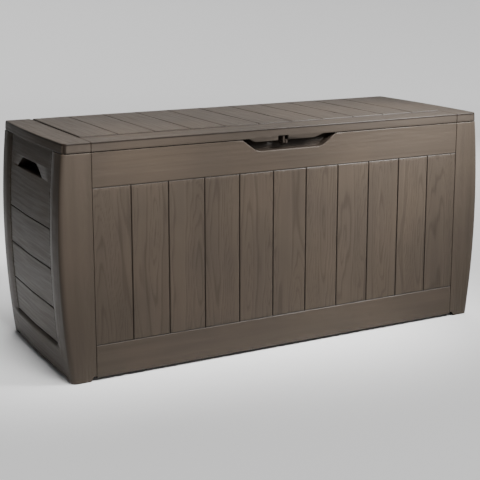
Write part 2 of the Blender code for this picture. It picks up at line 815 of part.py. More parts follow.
def stay_stud(name, side, material):
    """Make the headed stud that the slotted arm runs on."""
    wall = end_face(STUD_Y, stud_height()) - END_SKIN - 4 * GAP
    face = STAY_X + STAY_THICK / 2 + GAP
    head = STAY_X - STAY_THICK / 2 - GAP
    profile = [
        (wall, 0.0),
        (wall, STUD_FLANGE),
        (wall - SOLE_THICK, STUD_FLANGE),
        (wall - SOLE_THICK - 0.004, STUD_NECK * 1.6),
        (face, STUD_NECK * 1.6),
        (face, STUD_NECK),
        (head, STUD_NECK),
        (head, STUD_HEAD),
        (head - 0.003, STUD_HEAD - 0.001),
        (head - 0.003, 0.0),
    ]
    profile = [(side * x, radius) for x, radius in profile]
    return turned(name, profile, (STUD_Y, stud_height()), material, 20)


def stay_bracket(name, side, material):
    """Make the angle bracket under the lid that carries an arm's pivot."""
    top = LID_TOP - LID_SKIN - GAP
    inner = BRACKET_X - BRACKET_REACH
    outer = BRACKET_X + BRACKET_THICK
    outline = [
        (side * inner, top),
        (side * outer, top),
        (side * outer, BRACKET_LOW),
        (side * BRACKET_X, BRACKET_LOW),
        (side * BRACKET_X, top - BRACKET_THICK / 2),
        (side * inner, top - BRACKET_THICK / 2),
    ]
    bm = bmesh.new()
    along_y(bm, outline, STAY_PIVOT_Y - BRACKET_HALF, STAY_PIVOT_Y + BRACKET_HALF)
    bracket = make_object(name, bm, material)
    hole = bmesh.new()
    ends = sorted((side * (BRACKET_X - OVERSHOOT), side * (outer + OVERSHOOT)))
    ring = circle((STAY_PIVOT_Y, STAY_PIVOT_Z), STAY_PIN_RADIUS + BORE_CLEARANCE, 12)
    along_x(hole, ring, *ends)
    cut(bracket, hole)
    return bracket


def stay_pivot_pin(name, side, material):
    """Make the headed rivet that joins an arm to its bracket."""
    outer = STAY_X + STAY_THICK / 2 + GAP
    inner = BRACKET_X - GAP
    head = STAY_PIN_HEAD / 3
    profile = [
        (outer + head, 0.0),
        (outer + head, STAY_PIN_HEAD * 0.8),
        (outer, STAY_PIN_HEAD),
        (outer, STAY_PIN_RADIUS),
        (inner, STAY_PIN_RADIUS),
        (inner, STAY_PIN_HEAD),
        (inner - head, STAY_PIN_HEAD * 0.8),
        (inner - head, 0.0),
    ]
    profile = [(side * x, radius) for x, radius in profile]
    return turned(name, profile, (STAY_PIVOT_Y, STAY_PIVOT_Z), material, 16)


# ---- padlock ears -------------------------------------------------------------------------------

def padlock_ear(name, x, outline, material):
    """Make a flat ear with a hole for a padlock's shackle."""
    bm = bmesh.new()
    along_x(bm, outline, x - EAR_HALF, x + EAR_HALF)
    ear = make_object(name, bm, material)
    hole = bmesh.new()
    reach = EAR_HALF + OVERSHOOT
    along_x(hole, circle((EAR_HOLE_Y, EAR_HOLE_Z), EAR_HOLE_RADIUS, 16), x - reach, x + reach)
    cut(ear, hole)
    return ear


def body_ear_outline():
    """Return the outline of the ear that stands out of the finger recess."""
    back = -HALF_DEPTH + SCOOP_DEPTH - GAP
    front = EAR_HOLE_Y - 0.0085
    return [
        (back, EAR_HOLE_Z - 0.012),
        (EAR_HOLE_Y, EAR_HOLE_Z - 0.0085),
        (front, EAR_HOLE_Z - 0.005),
        (front, EAR_HOLE_Z + 0.004),
        (EAR_HOLE_Y, EAR_HOLE_Z + 0.0075),
        (back, EAR_HOLE_Z + 0.0075),
    ]


def lid_ear_outline():
    """Return the outline of the ear that hangs from the lid behind the skirt's notch."""
    top = LID_TOP - LID_SKIN - GAP
    front = -HALF_DEPTH + LID_WALL + GAP
    return [
        (front, top),
        (front, NOTCH_TOP),
        (front - 0.003, NOTCH_TOP - GAP * 2),
        (front - 0.003, EAR_HOLE_Z - 0.004),
        (EAR_HOLE_Y, EAR_HOLE_Z - 0.0075),
        (EAR_HOLE_Y + 0.008, EAR_HOLE_Z - 0.004),
        (EAR_HOLE_Y + 0.008, top),
    ]


# ---- assembly ----------------------------------------------------------------------------------

def hang_on(axis_name, location, pieces):
    """Parent pieces to an empty on their joint's axis, and leave them where they are."""
    axis = bpy.data.objects.new(axis_name, None)
    axis.location = location
    bpy.context.scene.collection.objects.link(axis)
    bpy.context.view_layer.update()
    for piece in pieces:
        piece.parent = axis
        piece.matrix_parent_inverse = axis.matrix_world.inverted()


def build():
    """Model the whole box."""
    clear_scene()
    resin = make_material("brown_resin", RESIN, 0.55)
    dark_resin = make_material("dark_resin", DARK_RESIN, 0.5)
    steel = make_material("zinc_steel", STEEL, 0.35, 1.0)

    add_scoop(long_panel("front_panel", -1, resin))
    add_hinge_pads(long_panel("back_panel", 1, resin))
    end_panel("left_end_panel", -1, resin)
    end_panel("right_end_panel", 1, resin)
    base_tray(dark_resin)
    padlock_ear("body_padlock_ear", BODY_EAR_X, body_ear_outline(), dark_resin)

    lid_pieces = [lid_shell(resin)]
    lid_pieces.append(padlock_ear("lid_padlock_ear", LID_EAR_X, lid_ear_outline(), dark_resin))
    for place, x in HINGE_X.items():
        hinge_bracket(f"{place}_hinge_bracket", x, dark_resin)
        lid_pieces.append(hinge_pin(f"{place}_hinge_pin", x, steel))
        hinge_screw(f"{place}_hinge_screw_a", x - SCREW_OFFSET, steel)
        hinge_screw(f"{place}_hinge_screw_b", x + SCREW_OFFSET, steel)
    for place, side in (("left", -1), ("right", 1)):
        stay_arm(f"{place}_stay_arm", side, dark_resin)
        stay_stud(f"{place}_stay_stud", side, steel)
        lid_pieces.append(stay_bracket(f"{place}_stay_bracket", side, dark_resin))
        lid_pieces.append(stay_pivot_pin(f"{place}_stay_pivot_pin", side, steel))
    hang_on("lid_axis", (0.0, HINGE_Y, HINGE_Z), lid_pieces)


build()
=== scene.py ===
"""Deck storage box: the looks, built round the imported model.

Every mould surface is a closed shell with its plank grooves, coves and wood grain in
the mesh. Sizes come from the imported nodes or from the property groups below.
"""

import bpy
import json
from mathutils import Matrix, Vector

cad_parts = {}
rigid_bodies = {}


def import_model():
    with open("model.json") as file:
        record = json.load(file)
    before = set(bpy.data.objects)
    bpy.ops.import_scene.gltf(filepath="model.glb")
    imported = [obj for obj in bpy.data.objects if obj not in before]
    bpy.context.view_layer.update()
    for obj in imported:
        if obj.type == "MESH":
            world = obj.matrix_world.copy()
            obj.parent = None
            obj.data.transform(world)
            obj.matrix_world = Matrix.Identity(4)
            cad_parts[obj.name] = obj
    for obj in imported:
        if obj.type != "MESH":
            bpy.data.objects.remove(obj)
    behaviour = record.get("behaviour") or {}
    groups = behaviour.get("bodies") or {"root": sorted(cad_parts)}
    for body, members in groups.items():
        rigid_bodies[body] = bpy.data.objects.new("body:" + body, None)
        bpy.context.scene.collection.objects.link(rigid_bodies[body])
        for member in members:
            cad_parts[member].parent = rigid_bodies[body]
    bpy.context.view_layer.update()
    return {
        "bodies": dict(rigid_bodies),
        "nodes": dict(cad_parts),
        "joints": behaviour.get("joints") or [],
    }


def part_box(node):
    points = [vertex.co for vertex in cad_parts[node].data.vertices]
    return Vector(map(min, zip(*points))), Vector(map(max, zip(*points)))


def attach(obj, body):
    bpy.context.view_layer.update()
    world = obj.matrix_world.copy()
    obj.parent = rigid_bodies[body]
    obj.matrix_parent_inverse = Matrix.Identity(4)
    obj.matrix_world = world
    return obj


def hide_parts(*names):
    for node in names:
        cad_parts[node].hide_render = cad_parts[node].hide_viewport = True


bl_info = {
    "name": "Deck Storage Box",
    "version": (1, 0, 0),
    "blender": (4, 5, 0),
    "location": "View3D > Sidebar > Storage Box",
    "description": "Builds a resin deck storage box round its packed model",
    "category": "Object",
}

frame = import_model()

import json
import math

import bmesh
import bpy
import numpy as np
from bpy.props import FloatProperty, FloatVectorProperty, IntProperty, PointerProperty
from mathutils import Vector

GAP = 0.0003                            # kept between touching pieces
SMOOTH_DEG = 32.0                       # a sharper edge than this is shaded as an edge
TOUCHING = 1e-6                         # points closer than this become one
GROOVE_SECTION = (-0.62, -0.3, 0.0, 0.3, 0.62)  # places across a groove, in half widths
GRAIN_FADE = 0.0006                     # the grain is gone where a groove is this deep
QUARTER_TURN = (0, 30, 60, 90)          # degrees at which a lip's rounding is followed
CLEAR = 0.004                           # how far a cutting tool reaches past the solid it cuts
MM = 1000.0                             # millimetres in a metre
RELIEF_LIMIT = 3.0                      # millimetres; anything deeper is no longer relief
SEAM_TURN = 0.0005                      # kept off a wall's thickness when its inner side is found

PLANK_INSET = 0.0015                    # from a post's edge to the planked panel
PLANK_DROP = 0.0004                     # how far the planks lie behind the rails
RAIL_GROOVE_WIDTH = 0.8                 # of a plank groove's width
PANEL_STEPS = (0.0026, 0.0080, 0.0032)  # along the length, up the planks, up the rails
SCOOP_ROUNDING = 0.012

END_STEP = 0.0034                       # round the end wall
END_RISE = 0.0032                       # up the end wall
FOOT_BLEND = 0.012                      # height over which the lower edge turns into a foot
CHAMFER_END = 0.001                     # from the foot's chamfer to the even part of the post
RAIL_BLEND = 0.008                      # height over which the hollow face meets the rail
POST_MIDDLE_X = 0.545                   # the log's middle in a corner post's grain
GRIP_ROUNDING = 0.007

LID_STEPS = (0.0027, 0.0034, 0.0085)    # along the length, across the frame, across the planks
PLANK_EDGE = 0.0022                     # rounding of the raised planks' outer edge
PLANK_GAP = 0.0006                      # from the raised planks to the lid's end boards
TONGUE_ROUNDING = 0.010
HINGE_BORE = 0.0033                     # radius of the hole round a hinge pin
BORE_HALF = 0.0425                      # half length of that hole
LUG = 0.015                             # length of the solid lug beside a hinge notch
HOLLOW_REAR = 0.2165                    # Y at which the hollow between two lugs ends
HOLLOW_TOP = 0.5535
CROSS_RIBS = 7
CROSS_RIB_PITCH = 0.1550
CROSS_RIB_LENGTH = 0.376
LONG_RIBS = 2
LONG_RIB_PITCH = 0.100
LONG_RIB_LENGTH = 1.060
RIB_ROOT = 0.0006                       # how far a cross rib runs into the lid's skin
LONG_RIB_LOSS = 0.0006                  # a long rib is this much less high than a cross rib

LAP_HALF = 0.012                        # half width of the lap behind a post's seam
LAP_THICKNESS = 0.0022
LAP_ROUNDING = 0.0006
HARDWARE_ROUNDING = 0.00045
SCREW_SEED = 7

FLOOR_RADIUS = 5.5
FLOOR_BEND = 2.5                        # radius of the curve up to the backdrop
FLOOR_DROP = 0.0005                     # the backdrop's curve starts this far below the feet
WORLD_STRENGTH = 0.30
SUN_STRENGTH = 2.2
SUN_ANGLE = 40.0
SUN_DIRECTION = (-0.32, 0.30, -0.90)
# name, place, target, side of the square, watts, spread in degrees, seen in reflections
LIGHTS = (
    ("key_light", (0.85, -0.85, 1.25), (0.36, -0.225, 0.62), 0.5, 8.8, 50.0, True),
    ("side_light", (-0.45, -0.85, 1.25), (-0.48, -0.225, 0.66), 0.5, 3.6, 50.0, True),
    ("rear_light", (1.7, 2.3, 1.5), (0.1, 0.1, 0.4), 1.4, 26.0, 180.0, False),
    ("back_light", (0.9, 2.4, 0.5), (0.0, 0.225, 0.3), 1.0, 9.0, 70.0, False),
)
CARD_LOW = (-1.27, -0.45, 0.01)
CARD_HIGH = (-1.25, 2.90, 1.75)
CAMERA_PLACE = (-1.3458, -2.4838, 0.9311)
CAMERA_YAW = 28.115                     # degrees to the right of straight back
CAMERA_PITCH = 11.006                   # degrees down
CAMERA_LENS = 81.82                     # millimetres, on a 36 mm sensor
CAMERA_SHIFT = -0.12


# ---- places read from the frame -------------------------------------------------------

def joint_place(name):
    """Return a joint's position."""
    for joint in frame["joints"]:
        if joint["name"] == name:
            return Vector(joint["pos_m"])
    raise RuntimeError(f"the frame has no joint {name}")


FRONT_LOW, FRONT_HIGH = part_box("front_panel")
LID_LOW_CORNER, LID_HIGH_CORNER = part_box("lid_shell")
END_LOW_CORNER, END_HIGH_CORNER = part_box("right_end_panel")
HINGE = joint_place("lid_hinge")
HALF_DEPTH = -FRONT_LOW.y
BODY_TOP = FRONT_HIGH.z
PANEL_BOTTOM = FRONT_LOW.z
POST_EDGE = END_LOW_CORNER.x            # inner edge of a corner post
PLANK_TOP = LID_HIGH_CORNER.z


def metres(name, text, default):
    """Return a length property."""
    return FloatProperty(name=name, description=text, default=default, precision=4, unit="LENGTH")


def colour(name, text, default):
    """Return a linear colour property."""
    return FloatVectorProperty(
        name=name, description=text, default=default, subtype="COLOR", size=3, min=0.0, max=1.0
    )


class BoxWalls(bpy.types.PropertyGroup):
    """Sizes of the body's walls."""

    plank_count: IntProperty(name="Planks", description="Planks across the front", default=11)
    seam: metres("Seam", "Half of the gap between a panel and a post", 0.0003)
    skin: metres("Panel wall", "Wall of a long panel", 0.0045)
    end_skin: metres("End wall", "Wall of an end panel", 0.004)
    rim: metres("Rim", "Width of the flange round the top", 0.010)
    rim_thick: metres("Rim thickness", "Thickness of the flange", 0.004)
    rail_top: metres("Top rail", "Height of the top rail's lower edge", 0.453)
    rail_low: metres("Bottom rail", "Height of the bottom rail's upper edge", 0.085)
    groove: metres("Groove width", "Width of a groove at the surface", 0.0046)
    groove_depth: metres("Groove depth", "Depth of a groove", 0.0021)
    grain: metres("Grain depth", "Height of the embossed grain", 0.00024)
    edge: metres("Edge radius", "Rounding of the moulded edges", 0.0012)


class BoxEnds(bpy.types.PropertyGroup):
    """Sizes of the bowed end walls."""

    reach: metres("Reach", "Half length at the fullest height", 0.592)
    belly: metres("Belly height", "Height where the end is fullest", 0.300)
    bow: metres("Bow radius", "Radius of the end's curve in height", 2.2)
    bulge: metres("Bulge", "Extra reach at the middle of the depth", 0.0075)
    corner: metres("Corner radius", "Radius of the upright corners", 0.012)
    cove_outer: metres("Cove start", "Depth position where the hollow face starts", 0.186)
    cove_inner: metres("Cove end", "Depth position where the hollow face is flat", 0.140)
    recess: metres("Recess", "Depth of the hollow face", 0.006)
    crease: metres("Crease", "Depth position where the boards meet the post", 0.152)
    rail_top: metres("End rail", "Height of the end's bottom rail", 0.080)
    groove_low: metres("Lowest groove", "Height of the lowest end groove", 0.166)
    groove_pitch: metres("Groove pitch", "Distance between the end grooves", 0.09375)
    bottom: metres("Bottom edge", "Height of the end wall's bottom edge", 0.0115)
    foot_x: metres("Foot edge", "Inner edge of a foot along the length", 0.5276)
    foot_chamfer: metres("Foot chamfer", "Where the foot's chamfer ends", 0.519)
    foot_y: metres("Foot depth", "Inner edge of a foot across the depth", 0.190)
    sole: metres("Sole", "Thickness of a foot's sole", 0.004)


class BoxRecesses(bpy.types.PropertyGroup):
    """Sizes of the hand recesses and the padlock notch."""

    grip_low: metres("Grip bottom", "Height of the grip slot's lower edge", 0.461)
    grip_high: metres("Grip top", "Height of the grip slot's upper edge", 0.489)
    grip_half_low: metres("Grip lower half", "Half width of the slot's lower edge", 0.0965)
    grip_half_high: metres("Grip upper half", "Half width of the slot's upper edge", 0.0515)
    grip_back: metres("Grip back", "X of the slot's inner wall", 0.5565)
    scoop_low: metres("Scoop bottom", "Height of the finger recess's lower edge", 0.5045)
    scoop_half_low: metres("Scoop lower half", "Half width of its lower edge", 0.0915)
    scoop_half_high: metres("Scoop upper half", "Half width at the rim", 0.132)
    scoop_depth: metres("Scoop depth", "Depth of the finger recess", 0.022)
    wall: metres("Pocket wall", "Wall of the pockets", 0.003)
    lip: metres("Lip", "Rounding of the pockets' lips", 0.0016)


class BoxLid(bpy.types.PropertyGroup):
    """Sizes of the lid."""

    low: metres("Lower edge", "Height of the skirt's lower edge", 0.5355)
    top: metres("Frame top", "Height of the lid's frame", 0.558)
    skin: metres("Top skin", "Thickness of the top", 0.0035)
    wall: metres("Skirt wall", "Thickness of the skirt", 0.004)
    planks_front: metres("Planks' front", "Y where the planks start", -0.150)
    planks_rear: metres("Planks' rear", "Y where the planks end", 0.195)
    rear_bar: metres("Rear bar", "Y where the solid rear edge starts", 0.196)
    edge: metres("Edge radius", "Rounding of the lid's top edge", 0.0022)
    notch_half: metres("Hinge gap", "Half width of a hinge notch", 0.0285)
    notch_front: metres("Notch front", "Y of a hinge notch's front wall", 0.1985)
    tongue_low: metres("Tongue", "Height of the tongue's lower edge", 0.527)
    tongue_left: metres("Tongue left", "X where its left slope starts", -0.115)
    tongue_low_left: metres("Tongue lower left", "X of its lower edge's left end", -0.100)
    tongue_low_right: metres("Tongue lower right", "X of its lower edge's right end", 0.070)
    tongue_right: metres("Tongue right", "X where its right slope starts", 0.103)
    latch_x: metres("Latch place", "X of the padlock notch", -0.020)
    latch_half: metres("Latch half", "Half width of the padlock notch", 0.014)
    latch_top: metres("Latch top", "Top of the padlock notch", 0.538)
    rib: metres("Rib", "Thickness of the ribs under the lid", 0.0025)
    rib_low: metres("Rib bottom", "Height of the ribs' lower edge", 0.5425)


class BoxFinish(bpy.types.PropertyGroup):
    """Colours of the finishes."""

    resin: colour("Resin", "Colour of the walls", (0.0445, 0.0345, 0.0262))
    # Painted shade: the lid's copy of the resin is set a touch darker than the walls' to hold down the key
    # light falling on the lid.
    lid_resin: colour("Lid resin", "Colour of the lid", (0.0425, 0.0340, 0.0270))
    # Painted shade: deep groove faces are darkened towards this colour in place of the shade that falls in
    # the grooves.
    painted_groove_shade: colour("Groove", "Colour down in the grooves", (0.011, 0.0072, 0.0048))
    worn: colour("Worn", "Colour of the rubbed grain tops", (0.072, 0.053, 0.037))
    # This dark resin colours the tray and the brackets, and is also painted shade on the faces inside the
    # finger recess and the grip slots.
    dark: colour("Inner resin", "Colour of the floor and the brackets", (0.022, 0.0165, 0.0125))
    steel: colour("Steel", "Colour of the pins and screws", (0.43, 0.43, 0.44))
    floor: colour("Floor", "Colour of the studio floor", (0.93, 0.93, 0.93))


def props(name):
    """Return one of the scene's property groups."""
    return getattr(bpy.context.scene, "storage_box_" + name)


# ---- mesh helpers ---------------------------------------------------------------------

def spaced(low, high, step):
    """Return evenly spaced values from low to high, about a step apart."""
    count = max(int(round((high - low) / step)), 1)
    return list(np.linspace(low, high, count + 1))


def grooved(low, high, centres, half, step):
    """Return values from low to high that follow each groove's section closely."""
    values = []
    start = low
    for centre in centres:
        values += spaced(start, centre - half, step)
        values += [centre + half * part for part in GROOVE_SECTION]
        start = centre + half
    return values + spaced(start, high, step)


def groove_depth(offset, half, depth):
    """Return a rounded V groove's depth at a distance from its centre."""
    part = np.clip(1 - np.abs(offset) / half, 0, 1)
    return depth * part ** 1.25


def smooth(part):
    """Ease from 0 to 1."""
    part = np.clip(part, 0.0, 1.0)
    return part * part * (3 - 2 * part)


def grain(across, along, seed):
    """Return embossed wood grain, about -1 to 1, for a board lying along one direction.

    The board cuts a leaning log, so that its rings show as arches and streaks.
    """
    across = np.asarray(across, float)
    along = np.asarray(along, float)
    seed = np.asarray(seed, float)
    lean = 0.055 * np.sin(seed * 2.3 + 0.7)
    depth = 0.012 * np.sin(seed * 5.1) + lean * (along * 2.2 - 0.45 + 0.25 * np.sin(seed * 3.7))
    centre = 0.030 * np.sin(seed * 7.9 + 1.3)
    wander = 0.0042 * np.sin(along * 11 + seed * 1.7) + 0.0022 * np.sin(along * 27 + seed * 4.1)
    ripple = 0.0009 * np.sin(along * 61 + across * 240 + seed)
    radius = np.hypot(across - centre + wander, depth) + ripple
    pitch = 0.0085 + 0.0025 * np.sin(radius * 90 + seed * 3.1)
    phase = radius / pitch + 0.35 * np.sin(across * 130 + seed)
    ring = 0.5 + 0.5 * np.cos(2 * np.pi * phase)
    streak = np.sin(across * 900 + 3 * np.sin(along * 9 + seed)) * 0.22
    return 1 - 1.6 * ring ** 3 + streak


def grid_faces(index):
    """Return the four-sided faces of a grid of point numbers."""
    corners = [index[:-1, :-1], index[:-1, 1:], index[1:, 1:], index[1:, :-1]]
    return np.stack(corners, axis=-1).reshape(-1, 4).tolist()


def shell_mesh(name, outer, inner, kept):
    """Make a closed shell from an outer grid of points and a coarse inner one.

    outer is (rows, columns, 3). inner has its own few rows and the same columns: its
    first and last rows meet the outer grid's, and between them only the kept columns
    are used. The two open sides are planar and close with one face each.
    """
    rows, columns = outer.shape[:2]
    inner_rows = inner.shape[0]
    verts = [outer.reshape(-1, 3), inner.reshape(-1, 3)]
    base = rows * columns
    index = np.arange(rows * columns).reshape(rows, columns)
    faces = grid_faces(index)

    def back(row, column):
        return base + row * columns + column

    for column in range(columns - 1):
        first = (index[0, column + 1], index[0, column], back(0, column), back(0, column + 1))
        last_row = inner_rows - 1
        last = (
            index[rows - 1, column], index[rows - 1, column + 1],
            back(last_row, column + 1), back(last_row, column),
        )
        faces += [list(first), list(last)]
    for row in range(inner_rows - 1):
        for left, right in zip(kept, kept[1:]):
            low = range(left, right + 1) if row == 0 else (left, right)
            high = range(left, right + 1) if row == inner_rows - 2 else (left, right)
            face = [back(row + 1, column) for column in high]
            face += [back(row, column) for column in reversed(list(low))]
            faces.append(face)
    for column in (0, columns - 1):
        ring = [index[row, column] for row in range(rows)]
        ring += [back(row, column) for row in reversed(range(inner_rows))]
        faces.append(ring)
    return closed_object(name, np.concatenate(verts), faces)


def closed_object(name, points, faces):
    """Make a mesh object, drop unused points and turn its faces outwards."""
    mesh = bpy.data.meshes.new(name)
    mesh.from_pydata([tuple(point) for point in points], [], [[int(v) for v in face] for face in faces])
    return tidy_mesh(name, mesh)


def tidy_mesh(name, mesh):
    """Link a mesh after clearing loose points and turning its faces outwards."""
    bm = bmesh.new()
    bm.from_mesh(mesh)
    loose = [vert for vert in bm.verts if not vert.link_faces]
    bmesh.ops.delete(bm, geom=loose, context="VERTS")
    bmesh.ops.remove_doubles(bm, verts=bm.verts, dist=TOUCHING)
    bmesh.ops.recalc_face_normals(bm, faces=bm.faces)
    if bm.calc_volume(signed=True) < 0:
        bmesh.ops.reverse_faces(bm, faces=bm.faces)
    bm.to_mesh(mesh)
    bm.free()
    mesh.shade_smooth()
    mesh.set_sharp_from_angle(angle=math.radians(SMOOTH_DEG))
    obj = bpy.data.objects.new(name, mesh)
    bpy.context.scene.collection.objects.link(obj)
    return obj


def bm_object(name, bm):
    """Turn a bmesh into a tidy object."""
    mesh = bpy.data.meshes.new(name)
    bm.to_mesh(mesh)
    bm.free()
    return tidy_mesh(name, mesh)


def loft(rings):
    """Return a bmesh skinned over rings of equal length, with both ends filled."""
    bm = bmesh.new()
    made = [[bm.verts.new(point) for point in ring] for ring in rings]
    count = len(rings[0])
    for ring, following in zip(made, made[1:]):
        for index in range(count):
            after = (index + 1) % count
            bm.faces.new((ring[index], ring[after], following[after], following[index]))
    bm.faces.new(made[0])
    bm.faces.new(made[-1])
    return bm


def outline_solid(outline, low, high, direction):
    """Return a bmesh of a 2D outline run between two values of one axis."""
    def place(value, pair):
        point = list(pair)
        point.insert(direction, value)
        return point

    return loft([[place(low, pair) for pair in outline], [place(high, pair) for pair in outline]])


def box_solid(low, high):
    """Return a bmesh box between two corners."""
    outline = [(low[0], low[1]), (high[0], low[1]), (high[0], high[1]), (low[0], high[1])]
    return outline_solid(outline, low[2], high[2], 2)


def bake(obj):
    """Replace an object's mesh with its evaluated one, and drop its modifiers."""
    graph = bpy.context.evaluated_depsgraph_get()
    mesh = bpy.data.meshes.new_from_object(obj.evaluated_get(graph))
    obj.modifiers.clear()
    obj.data = mesh
    return obj


def volume(obj):
    """Return the volume inside an object's mesh."""
    bm = bmesh.new()
    bm.from_mesh(obj.data)
    value = bm.calc_volume(signed=True)
    bm.free()
    return value


def combine(obj, bm, operation):
    """Join or cut a closed solid, and throw the tool away."""
    before = volume(obj)
    tool = bm_object(obj.name + "_tool", bm)
    modifier = obj.modifiers.new("shape", "BOOLEAN")
    modifier.operation = operation
    modifier.solver = "MANIFOLD"
    modifier.object = tool
    bake(obj)
    bpy.data.objects.remove(tool, do_unlink=True)
    change = volume(obj) - before
    if abs(change) < 1e-10 or (change > 0) != (operation == "UNION"):
        raise RuntimeError(f"{operation} left {obj.name} with a volume change of {change:.3e}")


def bevel(obj, width, segments=2, angle=35.0):
    """Round an object's sharp edges."""
    modifier = obj.modifiers.new("rounding", "BEVEL")
    modifier.width = width
    modifier.segments = segments
    modifier.limit_method = "ANGLE"
    modifier.angle_limit = math.radians(angle)
    modifier.harden_normals = False
    bake(obj)
    obj.data.shade_smooth()
    obj.data.set_sharp_from_angle(angle=math.radians(SMOOTH_DEG))


def hand_over(obj, body, slot_name, materials, *nodes):
    """Dress a finished piece and tie it to the frame."""
    chosen = np.zeros(len(obj.data.polygons), np.int32)
    obj.data.polygons.foreach_get("material_index", chosen)
    obj.data.materials.clear()
    for material in materials:
        obj.data.materials.append(material)
    obj.data.polygons.foreach_set("material_index", np.minimum(chosen, len(materials) - 1))
    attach(obj, body)
    if nodes:
        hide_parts(*nodes)


def store(obj, name, values):
    """Store one number for each point of an object."""
    attribute = obj.data.attributes.new(name, "FLOAT", "POINT")
    attribute.data.foreach_set("value", np.asarray(values, np.float32))


def points_of(obj):
    """Return an object's points as an array."""
    flat = np.empty(len(obj.data.vertices) * 3, np.float32)
    obj.data.vertices.foreach_get("co", flat)
    return flat.reshape(-1, 3).astype(float)


def circle(centre, radius, steps=32):
    """Return the points of a circle."""
    angles = np.radians(np.linspace(0, 360, steps + 1))[:-1]
    return [(centre[0] + radius * math.cos(a), centre[1] + radius * math.sin(a)) for a in angles]


# ---- materials ------------------------------------------------------------------------

def add_node(tree, kind, place, **inputs):
    """Add a node, and set its inputs by name."""
    node = tree.nodes.new(kind)
    node.location = place
    for name, value in inputs.items():
        node.inputs[name.replace("_", " ")].default_value = value
    return node


def new_material(name, roughness, metallic=0.0):
    """Return a material with its tree, shader and Object coordinates."""
    material = bpy.data.materials.new(name)
    material.use_nodes = True
    tree = material.node_tree
    shader = tree.nodes["Principled BSDF"]
    shader.inputs["Roughness"].default_value = roughness
    shader.inputs["Metallic"].default_value = metallic
    shader.inputs["Specular IOR Level"].default_value = 0.16 if metallic < 0.5 else 0.5
    coords = add_node(tree, "ShaderNodeTexCoord", (-1500, 0))
    return material, tree, shader, coords.outputs["Object"]


def mapped(tree, vector, place, scale, location=(0, 0, 0)):
    """Scale Object coordinates."""
    node = add_node(tree, "ShaderNodeMapping", place, Scale=scale, Location=location)
    tree.links.new(vector, node.inputs["Vector"])
    return node.outputs["Vector"]


def noise(tree, vector, place, scale, detail=3.0, rough=0.5):
    """Add a noise texture and return its value."""
    node = add_node(tree, "ShaderNodeTexNoise", place, Scale=scale, Detail=detail, Roughness=rough)
    tree.links.new(vector, node.inputs["Vector"])
    return node.outputs["Fac"]


def remap(tree, value, place, source, target):
    """Map a value from one range to another."""
    node = add_node(tree, "ShaderNodeMapRange", place)
    node.inputs["From Min"].default_value = source[0]
    node.inputs["From Max"].default_value = source[1]
    node.inputs["To Min"].default_value = target[0]
    node.inputs["To Max"].default_value = target[1]
    tree.links.new(value, node.inputs["Value"])
    return node.outputs["Result"]


def mixed(tree, factor, first, second, place):
    """Mix two colours, each a socket or a linear colour."""
    node = tree.nodes.new("ShaderNodeMix")
    node.data_type = "RGBA"
    node.location = place
    tree.links.new(factor, node.inputs["Factor"])
    for socket, value in ((node.inputs[6], first), (node.inputs[7], second)):
        if isinstance(value, bpy.types.NodeSocket):
            tree.links.new(value, socket)
        else:
            socket.default_value = (*value, 1.0)
    return node.outputs[2]


def bump(tree, height, place, distance, strength=1.0, normal=None):
    """Add a bump and return its normal."""
    node = add_node(tree, "ShaderNodeBump", place, Strength=strength, Distance=distance)
    tree.links.new(height, node.inputs["Height"])
    if normal is not None:
        tree.links.new(normal, node.inputs["Normal"])
    return node.outputs["Normal"]


def grained_resin(name, base, along):
    """Return embossed resin whose fibres run along one axis (0, 1 or 2), with painted shade in its grooves
    and in the low parts of its grain.
    """
    finish = props("finish")
    material, tree, shader, vector = new_material(name, 0.5)
    fibre_scale = [230.0, 230.0, 230.0]
    fibre_scale[along] = 7.0
    streak_scale = [60.0, 60.0, 60.0]
    streak_scale[along] = 2.5
    fibre = noise(tree, mapped(tree, vector, (-1300, 200), fibre_scale), (-1100, 200), 1.0, 4.0, 0.6)
    streak = noise(tree, mapped(tree, vector, (-1300, 0), streak_scale), (-1100, 0), 1.0, 3.0)
    cloud = noise(tree, vector, (-1100, -200), 5.0, 2.0)
    speckle = noise(tree, vector, (-1100, -400), 900.0, 1.0)

    hollow = tree.nodes.new("ShaderNodeAttribute")
    hollow.attribute_name = "hollow_mm"
    hollow.location = (-1100, 450)
    # Painted shade: faces darken with their depth in a groove, towards the groove shade colour.
    groove = remap(tree, hollow.outputs["Fac"], (-850, 600), (0.28, 1.1), (0.0, 1.0))
    painted_hollow_shade_amount = remap(tree, hollow.outputs["Fac"], (-850, 420), (-0.25, 0.45), (0.0, 1.0))

    pale = [channel * 1.06 for channel in base]
    deep = [channel * 0.92 for channel in base]
    tone = remap(tree, streak, (-850, 0), (0.35, 0.65), (0.0, 1.0))
    body = mixed(tree, tone, pale, deep, (-600, 100))
    rubbed = remap(tree, cloud, (-850, -200), (0.42, 0.72), (0.0, 0.28))
    body = mixed(tree, rubbed, body, tuple(finish.worn), (-450, 100))
    # Painted shade: the low parts of the grain are darkened a little, as if in shade.
    shaded = [channel * 0.78 for channel in base]
    painted_hollow_shade_weight = tree.nodes.new("ShaderNodeMath")
    painted_hollow_shade_weight.operation = "MULTIPLY"
    painted_hollow_shade_weight.location = (-600, 420)
    painted_hollow_shade_weight.inputs[1].default_value = 0.12
    tree.links.new(painted_hollow_shade_amount, painted_hollow_shade_weight.inputs[0])
    body = mixed(tree, painted_hollow_shade_weight.outputs[0], body, shaded, (-300, 200))
    body = mixed(tree, groove, body, tuple(finish.painted_groove_shade), (-150, 250))
    tree.links.new(body, shader.inputs["Base Color"])

    rough = remap(tree, fibre, (-600, -150), (0.3, 0.7), (0.40, 0.54))
    tree.links.new(rough, shader.inputs["Roughness"])
    normal = bump(tree, fibre, (-450, -350), 0.00028, 0.55)
    normal = bump(tree, streak, (-300, -350), 0.0007, 0.35, normal)
    normal = bump(tree, speckle, (-150, -350), 0.00012, 0.35, normal)
    tree.links.new(normal, shader.inputs["Normal"])
    return material


